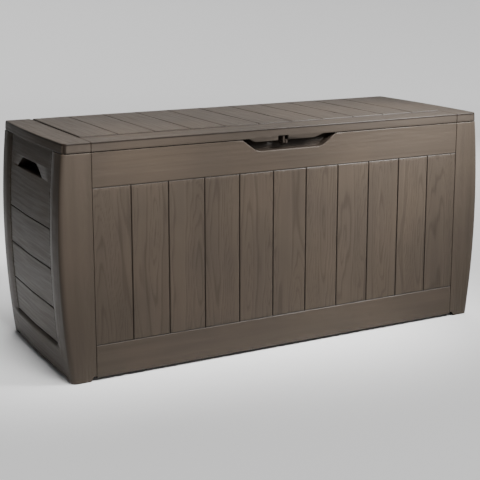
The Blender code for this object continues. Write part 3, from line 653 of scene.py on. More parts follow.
def plain_resin(name, base):
    """Return plain moulded resin with a fine spark-eroded texture."""
    material, tree, shader, vector = new_material(name, 0.5)
    cloud = noise(tree, vector, (-1000, 100), 14.0, 3.0)
    speckle = noise(tree, vector, (-1000, -100), 700.0, 2.0)
    tone = remap(tree, cloud, (-750, 100), (0.35, 0.65), (0.0, 1.0))
    pale = [channel * 1.12 for channel in base]
    deep = [channel * 0.88 for channel in base]
    tree.links.new(mixed(tree, tone, pale, deep, (-500, 100)), shader.inputs["Base Color"])
    tree.links.new(remap(tree, speckle, (-750, -100), (0.3, 0.7), (0.42, 0.58)), shader.inputs["Roughness"])
    tree.links.new(bump(tree, speckle, (-500, -200), 0.00015, 0.4), shader.inputs["Normal"])
    return material


def zinc_steel(name, base):
    """Return dull zinc-plated steel with turning marks."""
    material, tree, shader, vector = new_material(name, 0.35, 1.0)
    marks = noise(tree, mapped(tree, vector, (-1200, 0), (900.0, 120.0, 120.0)), (-1000, 0), 1.0, 2.0)
    cloud = noise(tree, vector, (-1000, -200), 160.0, 2.0)
    tone = remap(tree, cloud, (-750, 100), (0.35, 0.65), (0.0, 1.0))
    pale = [channel * 1.15 for channel in base]
    deep = [channel * 0.75 for channel in base]
    tree.links.new(mixed(tree, tone, pale, deep, (-500, 100)), shader.inputs["Base Color"])
    tree.links.new(remap(tree, marks, (-750, -100), (0.3, 0.7), (0.28, 0.46)), shader.inputs["Roughness"])
    tree.links.new(bump(tree, marks, (-500, -200), 0.00005, 0.4), shader.inputs["Normal"])
    return material


def finish_named(name):
    """Return a finish of this box, made the first time it is asked for."""
    if name in bpy.data.materials:
        return bpy.data.materials[name]
    finish = props("finish")
    if name.startswith("resin_grain_"):
        return grained_resin(name, tuple(finish.resin), "xyz".index(name[-1]))
    if name.startswith("lid_grain_"):
        return grained_resin(name, tuple(finish.lid_resin), "xyz".index(name[-1]))
    if name == "wall_inner_resin":
        return plain_resin(name, tuple(finish.resin))
    # Dark resin for the tray and brackets, also painted shade inside the pockets.
    if name == "moulded_resin":
        return plain_resin(name, tuple(finish.dark))
    if name == "zinc_steel_finish":
        return zinc_steel(name, tuple(finish.steel))
    raise RuntimeError(f"there is no finish named {name}")


def split_finish(obj, choose):
    """Give each face the finish index that choose returns for the face centres."""
    centres = np.empty(len(obj.data.polygons) * 3, np.float32)
    obj.data.polygons.foreach_get("center", centres)
    chosen = choose(centres.reshape(-1, 3).astype(float))
    obj.data.polygons.foreach_set("material_index", np.asarray(chosen, np.int32))


# ---- long panels ----------------------------------------------------------------------

def plank_half():
    """Return half the length of the planked panel."""
    return POST_EDGE - PLANK_INSET


def plank_pitch():
    """Return the width of one plank."""
    return 2 * plank_half() / props("walls").plank_count


def plank_lines():
    """Return the X of each groove between two planks."""
    count = props("walls").plank_count
    return [(index - count / 2) * plank_pitch() for index in range(1, count)]


def plank_number(x):
    """Return which plank each X lies on, counted from the left."""
    return np.floor(x / plank_pitch() + props("walls").plank_count / 2)


def rim_path(radius, skin):
    """Return the rolled top edge of a wall as (rise over the rim, inward) pairs."""
    walls = props("walls")
    turn = np.radians((0, 22, 45, 68, 90))
    path = [(radius * math.sin(a) - radius, radius - radius * math.cos(a)) for a in turn]
    path += [(0.0, walls.rim * 0.55), (0.0, walls.rim - 0.001), (-0.0003, walls.rim - 0.0003)]
    path += [(-0.001, walls.rim), (-walls.rim_thick, walls.rim), (-walls.rim_thick, skin)]
    return path


def panel_relief(x, z):
    """Return the depth of a long panel's grooves and grain below its face."""
    walls = props("walls")
    half = walls.groove / 2
    pitch = plank_pitch()
    planked = (z > walls.rail_low) & (z < walls.rail_top)
    beside = (x / pitch + walls.plank_count / 2 + 0.5) % 1.0 - 0.5
    fade = smooth((np.minimum(z - walls.rail_low, walls.rail_top - z) + half) / half)
    inside = np.abs(x) < plank_half() - pitch / 2
    depth = groove_depth(beside * pitch, half, walls.groove_depth) * fade * inside
    for line in (walls.rail_low, walls.rail_top):
        rail_groove = groove_depth(z - line, half * RAIL_GROOVE_WIDTH, walls.groove_depth * 0.75)
        depth = np.maximum(depth, rail_groove)
    number = plank_number(x)
    centre = (number + 0.5 - walls.plank_count / 2) * pitch
    board = grain(x - centre, z, number * 1.37 + 2.0)
    rail = grain(z - np.where(z > 0.3, 0.49, 0.045), x * 0.45, np.where(z > 0.3, 31.0, 47.0))
    calm = smooth(1 - depth / GRAIN_FADE)
    depth = depth - walls.grain * np.where(planked, board, rail) * calm
    drop = np.where(planked, PLANK_DROP, 0.0)
    return depth + drop * smooth(1 - depth / 0.001)


def long_panel(name, facing):
    """Make the front (-1) or back (+1) panel's shell."""
    walls = props("walls")
    half = walls.groove / 2
    edge = plank_half() - walls.seam
    radius = walls.edge
    angles = np.radians((90, 60, 30))
    turn = [(radius * (1 - math.sin(a)), radius * (1 - math.cos(a))) for a in angles]
    step_x, step_planks, step_rails = PANEL_STEPS
    flat_x = grooved(-edge + radius, edge - radius, plank_lines(), half, step_x)
    x_values = [-edge + inset for inset, _ in turn] + flat_x
    x_values += [edge - inset for inset, _ in reversed(turn)]
    side_inward = [inward for _, inward in turn] + [0.0] * len(flat_x)
    side_inward += [inward for _, inward in reversed(turn)]

    rail_half = half * RAIL_GROOVE_WIDTH
    heights = spaced(PANEL_BOTTOM + radius, walls.rail_low - rail_half, step_rails)
    heights += [walls.rail_low + rail_half * part for part in GROOVE_SECTION]
    heights += spaced(walls.rail_low + rail_half, walls.rail_top - rail_half, step_planks)
    heights += [walls.rail_top + rail_half * part for part in GROOVE_SECTION]
    heights += spaced(walls.rail_top + rail_half, BODY_TOP - radius, step_rails)[:-1]
    path = [(PANEL_BOTTOM + inset, inward) for inset, inward in turn]
    path += [(z, 0.0) for z in heights]
    path += [(BODY_TOP + rise, inward) for rise, inward in rim_path(radius, walls.skin)]

    x = np.array(x_values)[None, :]
    z = np.array([row[0] for row in path])[:, None]
    inward = np.array([row[1] for row in path])[:, None] + np.array(side_inward)[None, :]
    on_face = (inward < 1e-9) * 1.0
    depth = inward + panel_relief(x + 0 * z, z + 0 * x) * on_face
    outer = np.stack([x + 0 * z, facing * (HALF_DEPTH - depth), z + 0 * x], axis=-1)

    inner_z = np.array([PANEL_BOTTOM, 0.2, 0.35, BODY_TOP - 2 * walls.rim_thick])[:, None]
    inner_y = facing * (HALF_DEPTH - walls.skin)
    inner = np.stack([x + 0 * inner_z, inner_y + 0 * inner_z + 0 * x, inner_z + 0 * x], axis=-1)
    kept = sorted({0, *range(0, len(x_values) - 1, 24), len(x_values) - 1})
    return shell_mesh(name, outer, inner, kept)


def scoop_outline(grow, top):
    """Return the finger recess's (x, z) outline, grown outwards."""
    recess = props("recesses")
    slope = (recess.scoop_half_high - recess.scoop_half_low) / (BODY_TOP - recess.scoop_low)
    low = recess.scoop_low - grow
    side = grow * math.hypot(1, slope)
    points = []
    for sign in (-1, 1):
        bottom = recess.scoop_half_low + side - slope * grow
        high = recess.scoop_half_low + side + slope * (top - recess.scoop_low)
        pair = [(sign * high, top), (sign * bottom, low)]
        points += pair if sign < 0 else pair[::-1]
    return points


def rounded_bottom(outline, radius, steps=5):
    """Round the two lower corners of a (top, bottom, bottom, top) outline."""
    start, first, second, end = [Vector(point) for point in outline]
    points = [tuple(start)]
    for before, corner, after in ((start, first, second), (first, second, end)):
        into = (before - corner).normalized()
        out = (after - corner).normalized()
        for step in range(steps + 1):
            t = step / steps
            a = corner + into * radius
            b = corner + out * radius
            point = a.lerp(corner, t).lerp(corner.lerp(b, t), t)
            points.append(tuple(point))
    points.append(tuple(end))
    return points


def add_scoop(panel):
    """Sink the finger recess into the front panel, with a rounded lip."""
    recess = props("recesses")
    walls = props("walls")
    face = -HALF_DEPTH
    back = face + recess.scoop_depth

    def ring(y, grow, top):
        return [(x, y, z) for x, z in rounded_bottom(scoop_outline(grow, top), SCOOP_ROUNDING)]

    wall = recess.wall
    pocket = [ring(face + walls.skin * 0.6, wall, BODY_TOP), ring(back + wall, wall, BODY_TOP)]
    combine(panel, loft(pocket), "UNION")
    lip = recess.lip
    top = BODY_TOP + CLEAR
    rings = [ring(face - CLEAR, lip * 1.2, top)]
    for a in np.radians(QUARTER_TURN):
        rings.append(ring(face + lip * math.sin(a) - 0.0004, lip * (1 - math.sin(a)) ** 1.5, top))
    rings.append(ring(back - 0.003, -0.0006, top))
    rings.append(ring(back, -0.0030, top))
    combine(panel, loft(rings), "DIFFERENCE")


def face_depth(points, facing):
    """Return how far points lie below a long panel's face, in millimetres."""
    depth = (HALF_DEPTH - facing * points[:, 1]) * MM
    return np.where(depth < RELIEF_LIMIT, depth, 0.0)


def dress_panel(obj, facing):
    """Store the relief depth, which the finish turns into painted groove shade, and choose the grain
    direction over a long panel; the finger recess gets dark resin as painted shade.
    """
    walls = props("walls")
    store(obj, "hollow_mm", face_depth(points_of(obj), facing))

    def choose(centres):
        rails = (centres[:, 2] < walls.rail_low) | (centres[:, 2] > walls.rail_top)
        depth = HALF_DEPTH - facing * centres[:, 1]
        chosen = np.where(depth > walls.skin - SEAM_TURN, 2, rails.astype(int))
        recess = props("recesses")
        # Painted shade: the finger recess's faces take the dark resin in place of the shade inside it.
        pocket = (np.abs(centres[:, 0]) < recess.scoop_half_high) & (centres[:, 2] > recess.scoop_low)
        pocket = pocket & (depth > 0.001) & (depth < recess.scoop_depth + recess.wall)
        return np.where(pocket & (facing < 0), 3, chosen)

    split_finish(obj, choose)


# ---- end panels -----------------------------------------------------------------------

def end_reach(z):
    """Return the half length at a height, at the corners."""
    ends = props("ends")
    return ends.reach - (z - ends.belly) ** 2 / (2 * ends.bow)


def end_bulge(y):
    """Return how much further the end reaches at a depth."""
    return props("ends").bulge * (1 - (y / HALF_DEPTH) ** 2)


def cove(y):
    """Return 0 on the posts and 1 on the recessed boards."""
    ends = props("ends")
    return smooth((ends.cove_outer - np.abs(y)) / (ends.cove_outer - ends.cove_inner))


def end_lines():
    """Return the heights of the end wall's grooves."""
    ends = props("ends")
    return [ends.groove_low + ends.groove_pitch * index for index in range(3)]


def end_face(y, z):
    """Return the X of the right end wall's face, without grooves and grain."""
    ends = props("ends")
    ramp = smooth((z - ends.rail_top + RAIL_BLEND) / RAIL_BLEND)
    return end_reach(z) + end_bulge(y) - ends.recess * cove(y) * ramp


def end_relief(y, z):
    """Return the depth of an end wall's grooves and grain below its face."""
    walls = props("walls")
    ends = props("ends")
    half = walls.groove / 2
    inside = smooth((cove(y) - 0.02) / 0.3)
    boarded = smooth((ends.crease + half - np.abs(y)) / half)
    depth = 0.0 * y
    for line in end_lines():
        depth = np.maximum(depth, groove_depth(z - line, half, walls.groove_depth) * boarded)
    step = groove_depth(z - ends.rail_top, half, walls.groove_depth * 0.8) * boarded
    depth = np.maximum(depth, step)
    upright = groove_depth(np.abs(y) - ends.crease, half * 0.8, walls.groove_depth * 0.7)
    above = smooth((z - ends.rail_top + half) / half)
    depth = np.maximum(depth, upright * above)
    board = np.searchsorted(np.array([ends.rail_top, *end_lines()]), z.ravel()).reshape(z.shape)
    log_heights = np.array([0.045, 0.123, 0.213, 0.306, 0.445])
    middle = log_heights[board]
    boards = grain(z - middle, y + 0.5, board * 2.9 + 5.0)
    posts = grain(np.abs(y) - 0.2, z, np.sign(y) + 9.0)
    grained = posts * (1 - inside) + boards * inside
    return depth - walls.grain * grained * smooth(1 - depth / GRAIN_FADE)


def end_stations(step):
    """Return stations round an end wall as (kind, value, side of the depth)."""
    ends = props("ends")
    walls = props("walls")
    start = plank_half() + walls.seam
    front = [("strip", x) for x in (start, start + 0.0003, start + 0.0008, start + walls.edge)]
    front += [("strip", x) for x in spaced(start + walls.edge, ends.foot_chamfer + CHAMFER_END, step)[1:]]
    share = [("part", part) for part in np.linspace(0, 1, 18)[1:-1]]
    corner = [("corner", angle) for angle in np.linspace(0, 90, 9)]
    side = [("side", y) for y in spaced(HALF_DEPTH - ends.corner, ends.cove_outer, step)[1:]]
    half_groove = walls.groove * 0.4
    bend = grooved(-ends.cove_outer, -ends.cove_inner, [-ends.crease], half_groove, step * 1.3)
    side += [("side", -y) for y in bend[1:]]
    middle = spaced(ends.cove_inner, 0.0, step * 2.5)[1:]
    side += [("side", y) for y in middle]
    half = front + share + corner + side
    stations = [(kind, value, -1) for kind, value in half]
    stations += [(kind, value, 1) for kind, value in reversed(half[:-1])]
    return stations


def end_panel(name, side):
    """Make an end wall's shell with its two corner posts."""
    ends = props("ends")
    walls = props("walls")
    stations = end_stations(END_STEP)
    radius = walls.edge
    half = walls.groove / 2
    lines = [ends.rail_top, *end_lines()]
    rise = END_RISE
    heights = grooved(FOOT_BLEND, BODY_TOP - radius, lines, half, rise)
    path = [(0.0, 0.0012), (0.0004, 0.0004), (0.0012, 0.0), (0.006, 0.0)]
    path += [(z, 0.0) for z in heights[:-1]]
    path += [(BODY_TOP + rise, inward) for rise, inward in rim_path(radius, ends_skin())]
    z_path = np.array([row[0] for row in path])
    inward_path = np.array([row[1] for row in path])
    rows = len(path)
    outer = np.zeros((rows, len(stations), 3))
    for column, station in enumerate(stations):
        outer[:, column] = end_column(station, z_path, inward_path, True)
    inner_top = BODY_TOP - 2 * walls.rim_thick
    inner_z = np.array([0.0, 0.045, 0.074, 0.080, 0.166, 0.259, 0.3535, 0.45, inner_top])
    inner = np.zeros((len(inner_z), len(stations), 3))
    for column, station in enumerate(stations):
        inner[:, column] = end_column(station, inner_z, inner_z * 0 + ends_skin(), False)
    outer[..., 0] *= side
    inner[..., 0] *= side
    corners = [index for index, station in enumerate(stations) if station[0] == "corner"]
    kept = sorted({0, *range(0, len(stations) - 1, 6), *corners, len(stations) - 1})
    return shell_mesh(name, outer, inner, kept)


def ends_skin():
    """Return the end wall's thickness."""
    return props("walls").end_skin


def end_column(station, z, inward, relief):
    """Return one upright line of points of the right end wall."""
    ends = props("ends")
    walls = props("walls")
    kind, value, depth_side = station
    bottom = foot_clearance(kind, value)
    z = np.where(z < FOOT_BLEND, bottom + z * (FOOT_BLEND - bottom) / FOOT_BLEND, z)
    on_face = (inward < 1e-9) * (1.0 if relief else 0.0)
    edge_x = end_reach(z) - ends.corner
    centre_y = HALF_DEPTH - ends.corner
    seam_turn = 0.0
    if kind == "strip":
        start = plank_half() + walls.seam
        x = value + 0 * z
        seam_turn = walls.edge * max(0.0, 1 - (value - start) / walls.edge) ** 2
    if kind == "part":
        x = ends.foot_chamfer + CHAMFER_END + (edge_x - ends.foot_chamfer - CHAMFER_END) * value
    if kind in ("strip", "part"):
        grained = grain(x - POST_MIDDLE_X, z, np.full_like(z, 9.0 + depth_side))
        lift = walls.grain * grained * on_face
        y = depth_side * (HALF_DEPTH - inward - seam_turn + lift)
        return np.stack([x, y, z], axis=-1)
    if kind == "corner":
        angle = math.radians(value)
        swell = end_bulge(centre_y) * math.sin(angle)
        radius = ends.corner - inward
        x = edge_x + radius * math.sin(angle) + swell
        y = depth_side * (centre_y + radius * math.cos(angle))
        return np.stack([x, y, z], axis=-1)
    y = depth_side * value + 0 * z
    depth = inward + end_relief(y, z) * on_face
    return np.stack([end_face(y, z) - depth, y, z], axis=-1)


def foot_clearance(kind, value):
    """Return the height of the wall's bottom edge at a station."""
    ends = props("ends")
    if kind == "strip":
        return ends.bottom
    if kind == "part":
        x = ends.foot_chamfer + CHAMFER_END + (ends.reach - 0.02 - ends.corner - ends.foot_chamfer) * value
        share = (x - ends.foot_chamfer) / (ends.foot_x - ends.foot_chamfer)
        return float(ends.bottom * (1 - smooth(share)))
    if kind == "side":
        return float(ends.bottom * smooth((ends.foot_y - value + 0.002) / 0.006))
    return 0.0


def add_soles(panel, side):
    """Close the underside of both feet of an end wall."""
    ends = props("ends")
    for facing in (-1, 1):
        front = HALF_DEPTH - 0.0022
        corner_y = HALF_DEPTH - ends.corner
        outer_x = end_reach(0.0) + end_bulge(corner_y) - ends_skin() / 2
        outline = [
            (side * (ends.foot_x + 0.003), facing * front),
            (side * (end_reach(0.0) - ends.corner), facing * front),
            (side * outer_x, facing * corner_y),
            (side * outer_x, facing * (ends.foot_y + 0.002)),
            (side * (ends.foot_x + 0.003), facing * (ends.foot_y + 0.002)),
        ]
        combine(panel, outline_solid(outline, 0.0001, ends.sole, 2), "UNION")


def grip_outline(grow):
    """Return the grip slot's (y, z) outline, with rounded corners, grown outwards."""
    recess = props("recesses")
    low = recess.grip_low - grow
    high = recess.grip_high + grow
    half_low = recess.grip_half_low + grow * 1.3
    half_high = recess.grip_half_high + grow * 1.3
    pairs = ((-half_low, low), (half_low, low), (half_high, high), (-half_high, high))
    corners = [Vector(pair) for pair in pairs]
    points = []
    for index, corner in enumerate(corners):
        before = (corners[index - 1] - corner).normalized()
        after = (corners[(index + 1) % 4] - corner).normalized()
        radius = GRIP_ROUNDING + grow
        for t in (0.0, 0.25, 0.5, 0.75, 1.0):
            first = (corner + before * radius).lerp(corner, t)
            points.append(tuple(first.lerp(corner.lerp(corner + after * radius, t), t)))
        if index == 0:
            points += [(y, low) for y in np.linspace(-half_low, half_low, 9)[1:-1]]
        if index == 2:
            points += [(y, high) for y in np.linspace(half_high, -half_high, 5)[1:-1]]
    return points


def add_grip(panel, side):
    """Sink the hand grip into an end wall, with a rounded lip that follows the bow."""
    recess = props("recesses")

    def ring(grow, below, flat_x=None):
        points = []
        for y, z in grip_outline(grow):
            x = end_face(np.array(y), np.array(z)) - below if flat_x is None else flat_x
            points.append((side * float(x), y, z))
        return points

    pocket = [ring(recess.wall, ends_skin() * 0.5), ring(recess.wall, 0, recess.grip_back)]
    combine(panel, loft(pocket), "UNION")
    lip = recess.lip
    rings = [ring(lip * 1.3, -0.005)]
    for a in np.radians(QUARTER_TURN):
        rings.append(ring(lip * (1 - math.sin(a)) ** 1.5, lip * math.sin(a) - 0.0005))
    back = recess.grip_back + recess.wall
    rings.append(ring(-0.0004, 0, back + 0.003))
    rings.append(ring(-0.0026, 0, back))
    combine(panel, loft(rings), "DIFFERENCE")


def dress_end(obj, side):
    """Store the relief depth, which the finish turns into painted groove shade, and choose the grain
    direction over an end wall; the grip slot gets dark resin as painted shade.
    """
    points = points_of(obj)
    radius = props("ends").corner
    side_depth = end_face(points[:, 1], points[:, 2]) - side * points[:, 0]
    strip_depth = HALF_DEPTH - np.abs(points[:, 1])
    # This depth drives the painted groove shade; the rounded corners are measured from their arc so they
    # are not darkened as grooves.
    depth = np.minimum(side_depth, strip_depth)
    round_corner = (side_depth < radius) & (strip_depth < radius)
    corner_depth = radius - np.hypot(radius - side_depth, radius - strip_depth)
    depth = np.where(round_corner, corner_depth, depth) * MM
    store(obj, "hollow_mm", np.where((depth < RELIEF_LIMIT) & (depth > -1.0), depth, 0.0))

    def choose(centres):
        reach = end_face(centres[:, 1], centres[:, 2]) - side * centres[:, 0]
        inner = np.minimum(reach, HALF_DEPTH - np.abs(centres[:, 1])) > ends_skin() - SEAM_TURN
        recess = props("recesses")
        # Painted shade: the grip slot's faces take the dark resin in place of the shade inside it.
        pocket = (centres[:, 2] > recess.grip_low - 0.002) & (centres[:, 2] < recess.grip_high + 0.002)
        pocket = pocket & (np.abs(centres[:, 1]) < recess.grip_half_low + 0.003) & (reach > 0.001)
        chosen = np.where(inner, 2, (cove(centres[:, 1]) > 0.5).astype(int))
        return np.where(pocket, 3, chosen)

    split_finish(obj, choose)


# ---- lid ------------------------------------------------------------------------------

def lid_height(x, y):
    """Return the lid top's height: frame, raised planks, grooves and grain."""
    lid = props("lid")
    walls = props("walls")
    half = walls.groove / 2
    raised = PLANK_TOP - lid.top
    end = plank_half()
    inset = np.minimum(end - PLANK_GAP - np.abs(x), np.minimum(y - lid.planks_front, lid.planks_rear - y))
    turned_in = np.clip(1 - inset / PLANK_EDGE, 0, 1)
    lift = raised * np.sqrt(np.clip(1 - turned_in ** 2, 0, 1)) * (inset > 0)
    pitch = plank_pitch()
    beside = ((x / pitch + walls.plank_count / 2 + 0.5) % 1.0 - 0.5) * pitch
    inner = np.abs(x) < end - pitch / 2
    depth = groove_depth(beside, half, walls.groove_depth) * inner * (inset > 0)
    seam = groove_depth(np.abs(x) - end, half * 0.8, walls.groove_depth * 0.6)
    moat = groove_depth(y - lid.planks_front + half * 0.5, half * 0.8, walls.groove_depth * 0.9)
    depth = np.maximum(depth, np.maximum(seam, moat * (np.abs(x) < end)) * (inset <= 0))
    number = plank_number(x)
    middle = (number + 0.5 - walls.plank_count / 2) * pitch
    boards = grain(x - middle, y * 1.2 + 0.55, number * 1.9 + 13.0)
    rail = grain(y - np.where(y < 0, -0.188, 0.21), x * 0.45, np.full_like(x, 71.0))
    ends = grain(np.abs(x) - POST_MIDDLE_X, y + 0.5, np.sign(x) * 2 + 57.0)
    grained = np.where(np.abs(x) > end, ends, np.where(inset > 0, boards, rail))
    calm = smooth(1 - depth / GRAIN_FADE) * np.where(inset > 0, smooth(inset / 0.003), 1.0)
    return lid.top + lift - depth + walls.grain * (grained - 0.6) * calm


def lid_grid(step):
    """Return the lid top's column and row places."""
    lid = props("lid")
    half = props("walls").groove / 2
    end = plank_half()
    lines = [-end, *plank_lines(), end]
    limit = end_reach(lid.top) - lid.edge
    columns = grooved(-limit, limit, lines, half, step[0])
    turn = (0.0003, 0.0011, 0.0018, 0.003)
    extra = [side * (end - PLANK_GAP - part) for side in (-1, 1) for part in turn]
    columns = sorted(set(np.round(columns + extra, 6)))
    front = -HALF_DEPTH + lid.edge
    moat = lid.planks_front - half * 0.5
    rows = spaced(front, moat - half, step[1])
    rows += [moat + half * part for part in (-0.6, -0.3, 0.0, 0.25)]
    rows += [lid.planks_front + part for part in (0.0, 0.0002, 0.0007, 0.0014, 0.0022, 0.004)]
    rows += spaced(lid.planks_front + 0.008, lid.planks_rear - 0.008, step[2])
    rows += [lid.planks_rear - part for part in (0.004, 0.0022, 0.0014, 0.0007, 0.0002, 0.0)]
    rows += spaced(lid.planks_rear + 0.001, HINGE.y, step[1])
    return np.array(thinned(columns)), np.array(thinned(rows))


def thinned(values, closest=0.00018):
    """Drop values that lie too close to the one before."""
    kept = [values[0]]
    for value in values[1:]:
        if value - kept[-1] > closest:
            kept.append(value)
    return kept


def squircle(x, y, centre_x, centre_y, radius):
    """Bend a grid's square corner into a round one."""
    a = np.clip((np.abs(x) - centre_x) / radius, 0, 1)
    b = np.clip((centre_y - y) / radius, 0, 1)
    inside = (a > 0) & (b > 0)
    new_x = np.where(inside, np.sign(x) * (centre_x + radius * a * np.sqrt(1 - b * b / 2)), x)
    new_y = np.where(inside, centre_y - radius * b * np.sqrt(1 - a * a / 2), y)
    return new_x, new_y


def lid_top_points(step):
    """Return the lid top's grid of points."""
    lid = props("lid")
    ends = props("ends")
    columns, rows = lid_grid(step)
    x, y = np.meshgrid(columns, rows)
    limit = columns[-1]
    start = plank_half() + 0.004
    stretch = np.clip((np.abs(x) - start) / (limit - start), 0, 1)
    x = x + np.sign(x) * stretch * end_bulge(y)
    radius = ends.corner - lid.edge
    front_limit = limit + end_bulge(np.array(-HALF_DEPTH + ends.corner))
    bent_x, bent_y = squircle(x, y, front_limit - radius, -HALF_DEPTH + ends.corner, radius)
    z = lid_height(bent_x, bent_y)
    return np.stack([bent_x, bent_y, z], axis=-1)


def lid_profiles():
    """Return the skirt's steps: (out, z) for the front and ends, and for the rear."""
    lid = props("lid")
    radius = lid.edge
    foot = 0.0012
    upper = np.radians((22.5, 45, 67.5, 90))
    lower = np.radians((45, 90))
    plain = [(radius * math.sin(a), lid.top - radius * (1 - math.cos(a))) for a in upper]
    plain += [(radius, z) for z in np.linspace(lid.top - radius, lid.low + foot, 6)[1:]]
    plain += [(radius - foot * (1 - math.cos(a)), lid.low + foot * (1 - math.sin(a))) for a in lower]
    nose = lid.top - HINGE.z
    count = len(plain)
    angles = np.linspace(0, math.pi, count + 1)[1:]
    rear = [(nose * math.sin(a), HINGE.z + nose * math.cos(a)) for a in angles]
    inner_z = (lid.low + 0.0004, (lid.low + lid.top) / 2, lid.top - lid.skin)
    plain += [(radius - lid.wall, z) for z in inner_z]
    rear_low = (HINGE.z - nose + 0.0004, (lid.low + lid.top) / 2, lid.top - lid.skin)
    rear += [(lid.rear_bar - HINGE.y, z) for z in rear_low]
    return plain, rear


def skirt_frame(border, columns_count, rows_count):
    """Return, for each border point, its outward direction in plan."""
    ends = props("ends")
    lid = props("lid")
    count = len(border)
    normals = np.zeros((count, 2))
    corner_front = -HALF_DEPTH + ends.corner
    for index, (x, y) in enumerate(border[:, :2]):
        front_limit = end_reach(lid.top) - lid.edge + end_bulge(corner_front)
        centre_x = front_limit - (ends.corner - lid.edge)
        if y < corner_front and abs(x) > centre_x:
            direction = Vector((x - math.copysign(centre_x, x), y - corner_front))
            normals[index] = direction.normalized()
        elif index < columns_count - 1:
            normals[index] = (0, -1)
        elif index < columns_count + rows_count - 2:
            normals[index] = (1, 0)
        elif index < 2 * columns_count + rows_count - 3:
            normals[index] = (0, 1)
        else:
            normals[index] = (-1, 0)
    return normals


def rear_corner_turn(normals, first, second):
    """Turn the outward directions smoothly round the two rear corners, in place."""
    spread = 4
    for corner, start, end in ((first, (1, 0), (0, 1)), (second, (0, 1), (-1, 0))):
        for offset in range(-spread, spread + 1):
            share = (offset + spread) / (2 * spread)
            angle = share * math.pi / 2
            blend = (
                start[0] * math.cos(angle) + end[0] * math.sin(angle),
                start[1] * math.cos(angle) + end[1] * math.sin(angle),
            )
            normals[corner + offset] = blend


def lid_shell(name):
    """Make the lid's shell: planked top, skirt, rolled rear edge and inner faces."""
    lid = props("lid")
    walls = props("walls")
    top = lid_top_points(LID_STEPS)
    rows, columns = top.shape[:2]
    index = np.arange(rows * columns).reshape(rows, columns)
    faces = grid_faces(index)
    loop = [*index[0, :-1], *index[:-1, -1], *index[-1, :0:-1], *index[:0:-1, 0]]
    flat = top.reshape(-1, 3)
    border = flat[loop]
    normals = skirt_frame(border, columns, rows)
    first_rear = columns - 1 + rows - 1
    second_rear = first_rear + columns - 1
    rear_corner_turn(normals, first_rear, second_rear)
    rear_share = np.clip(normals[:, 1], 0, 1) ** 2
    plain, rear = lid_profiles()
    outer_steps = len(plain) - 3
    seam = np.abs(border[:, 0]) - plank_half()
    groove_line = groove_depth(seam, walls.groove / 2 * 0.8, walls.groove_depth * 0.6)
    facing_front = np.clip(-normals[:, 1], 0, 1)
    points = [flat]
    total = len(flat)
    previous = list(loop)
    for number, ((out, z), (rear_out, rear_z)) in enumerate(zip(plain, rear)):
        height = z * (1 - rear_share) + rear_z * rear_share
        lean = end_reach(np.maximum(height, lid.low)) - end_reach(lid.top)
        dx = normals[:, 0] * (out + lean)
        dy = normals[:, 1] * (out * (1 - rear_share) + rear_out * rear_share)
        if number < outer_steps:
            along = border[:, 0] * 0.5 + border[:, 1]
            grain_here = grain(height - 0.547, along, np.full(len(border), 77.0))
            lift = walls.grain * 0.6 * grain_here * facing_front * (3 < number < outer_steps - 2)
            dy = dy + (groove_line - lift) * facing_front
        ring = np.stack([border[:, 0] + dx, border[:, 1] + dy, height], axis=-1)
        points.append(ring)
        current = [total + offset for offset in range(len(loop))]
        total += len(loop)
        for offset in range(len(loop)):
            after = (offset + 1) % len(loop)
            faces.append([previous[after], previous[offset], current[offset], current[after]])
        previous = current
    faces.append(previous)
    return closed_object(name, np.concatenate(points), faces)


def hinge_places():
    """Return the X of each hinge, from its bracket."""
    places = []
    for place in ("left", "centre", "right"):
        low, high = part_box(f"{place}_hinge_bracket")
        places.append((low.x + high.x) / 2)
    return places


def add_tongue(obj):
    """Hang the tongue under the front skirt, and notch it for the padlock ears."""
    lid = props("lid")
    face = -HALF_DEPTH

    def ring(y, shrink):
        low = lid.tongue_low + shrink
        outline = [
            (lid.tongue_left - 0.004, lid.low + 0.004),
            (lid.tongue_low_left + shrink, low),
            (lid.tongue_low_right - shrink, low),
            (lid.tongue_right + 0.004, lid.low + 0.004),
        ]
        return [(x, y, z) for x, z in rounded_bottom(outline, TONGUE_ROUNDING)]

    rings = [ring(face + 0.0003, 0.0012), ring(face + 0.0007, 0.0004), ring(face + 0.0013, 0.0)]
    rings.append(ring(face + lid.wall - GAP, 0.0))
    combine(obj, loft(rings), "UNION")
    notch_low = (lid.latch_x - lid.latch_half, face - 0.002, lid.tongue_low - 0.002)
    notch_high = (lid.latch_x + lid.latch_half, face + lid.wall + 0.002, lid.latch_top)
    combine(obj, box_solid(notch_low, notch_high), "DIFFERENCE")


def cut_hinge_notches(obj):
    """Cut the hinge notches and the hollows between the hinge lugs."""
    lid = props("lid")
    places = hinge_places()
    for x in places:
        low = (x - lid.notch_half, lid.notch_front, lid.low - CLEAR)
        high = (x + lid.notch_half, HALF_DEPTH + CLEAR, PLANK_TOP + CLEAR)
        combine(obj, box_solid(low, high), "DIFFERENCE")
        bore = circle((HINGE.y, HINGE.z), HINGE_BORE, 20)
        combine(obj, outline_solid(bore, x - BORE_HALF, x + BORE_HALF, 0), "DIFFERENCE")
    reach = lid.notch_half + LUG
    for left, right in zip(places, places[1:]):
        low = (left + reach, lid.rear_bar - 0.002, lid.low - CLEAR)
        high = (right - reach, HOLLOW_REAR, HOLLOW_TOP)
        combine(obj, box_solid(low, high), "DIFFERENCE")


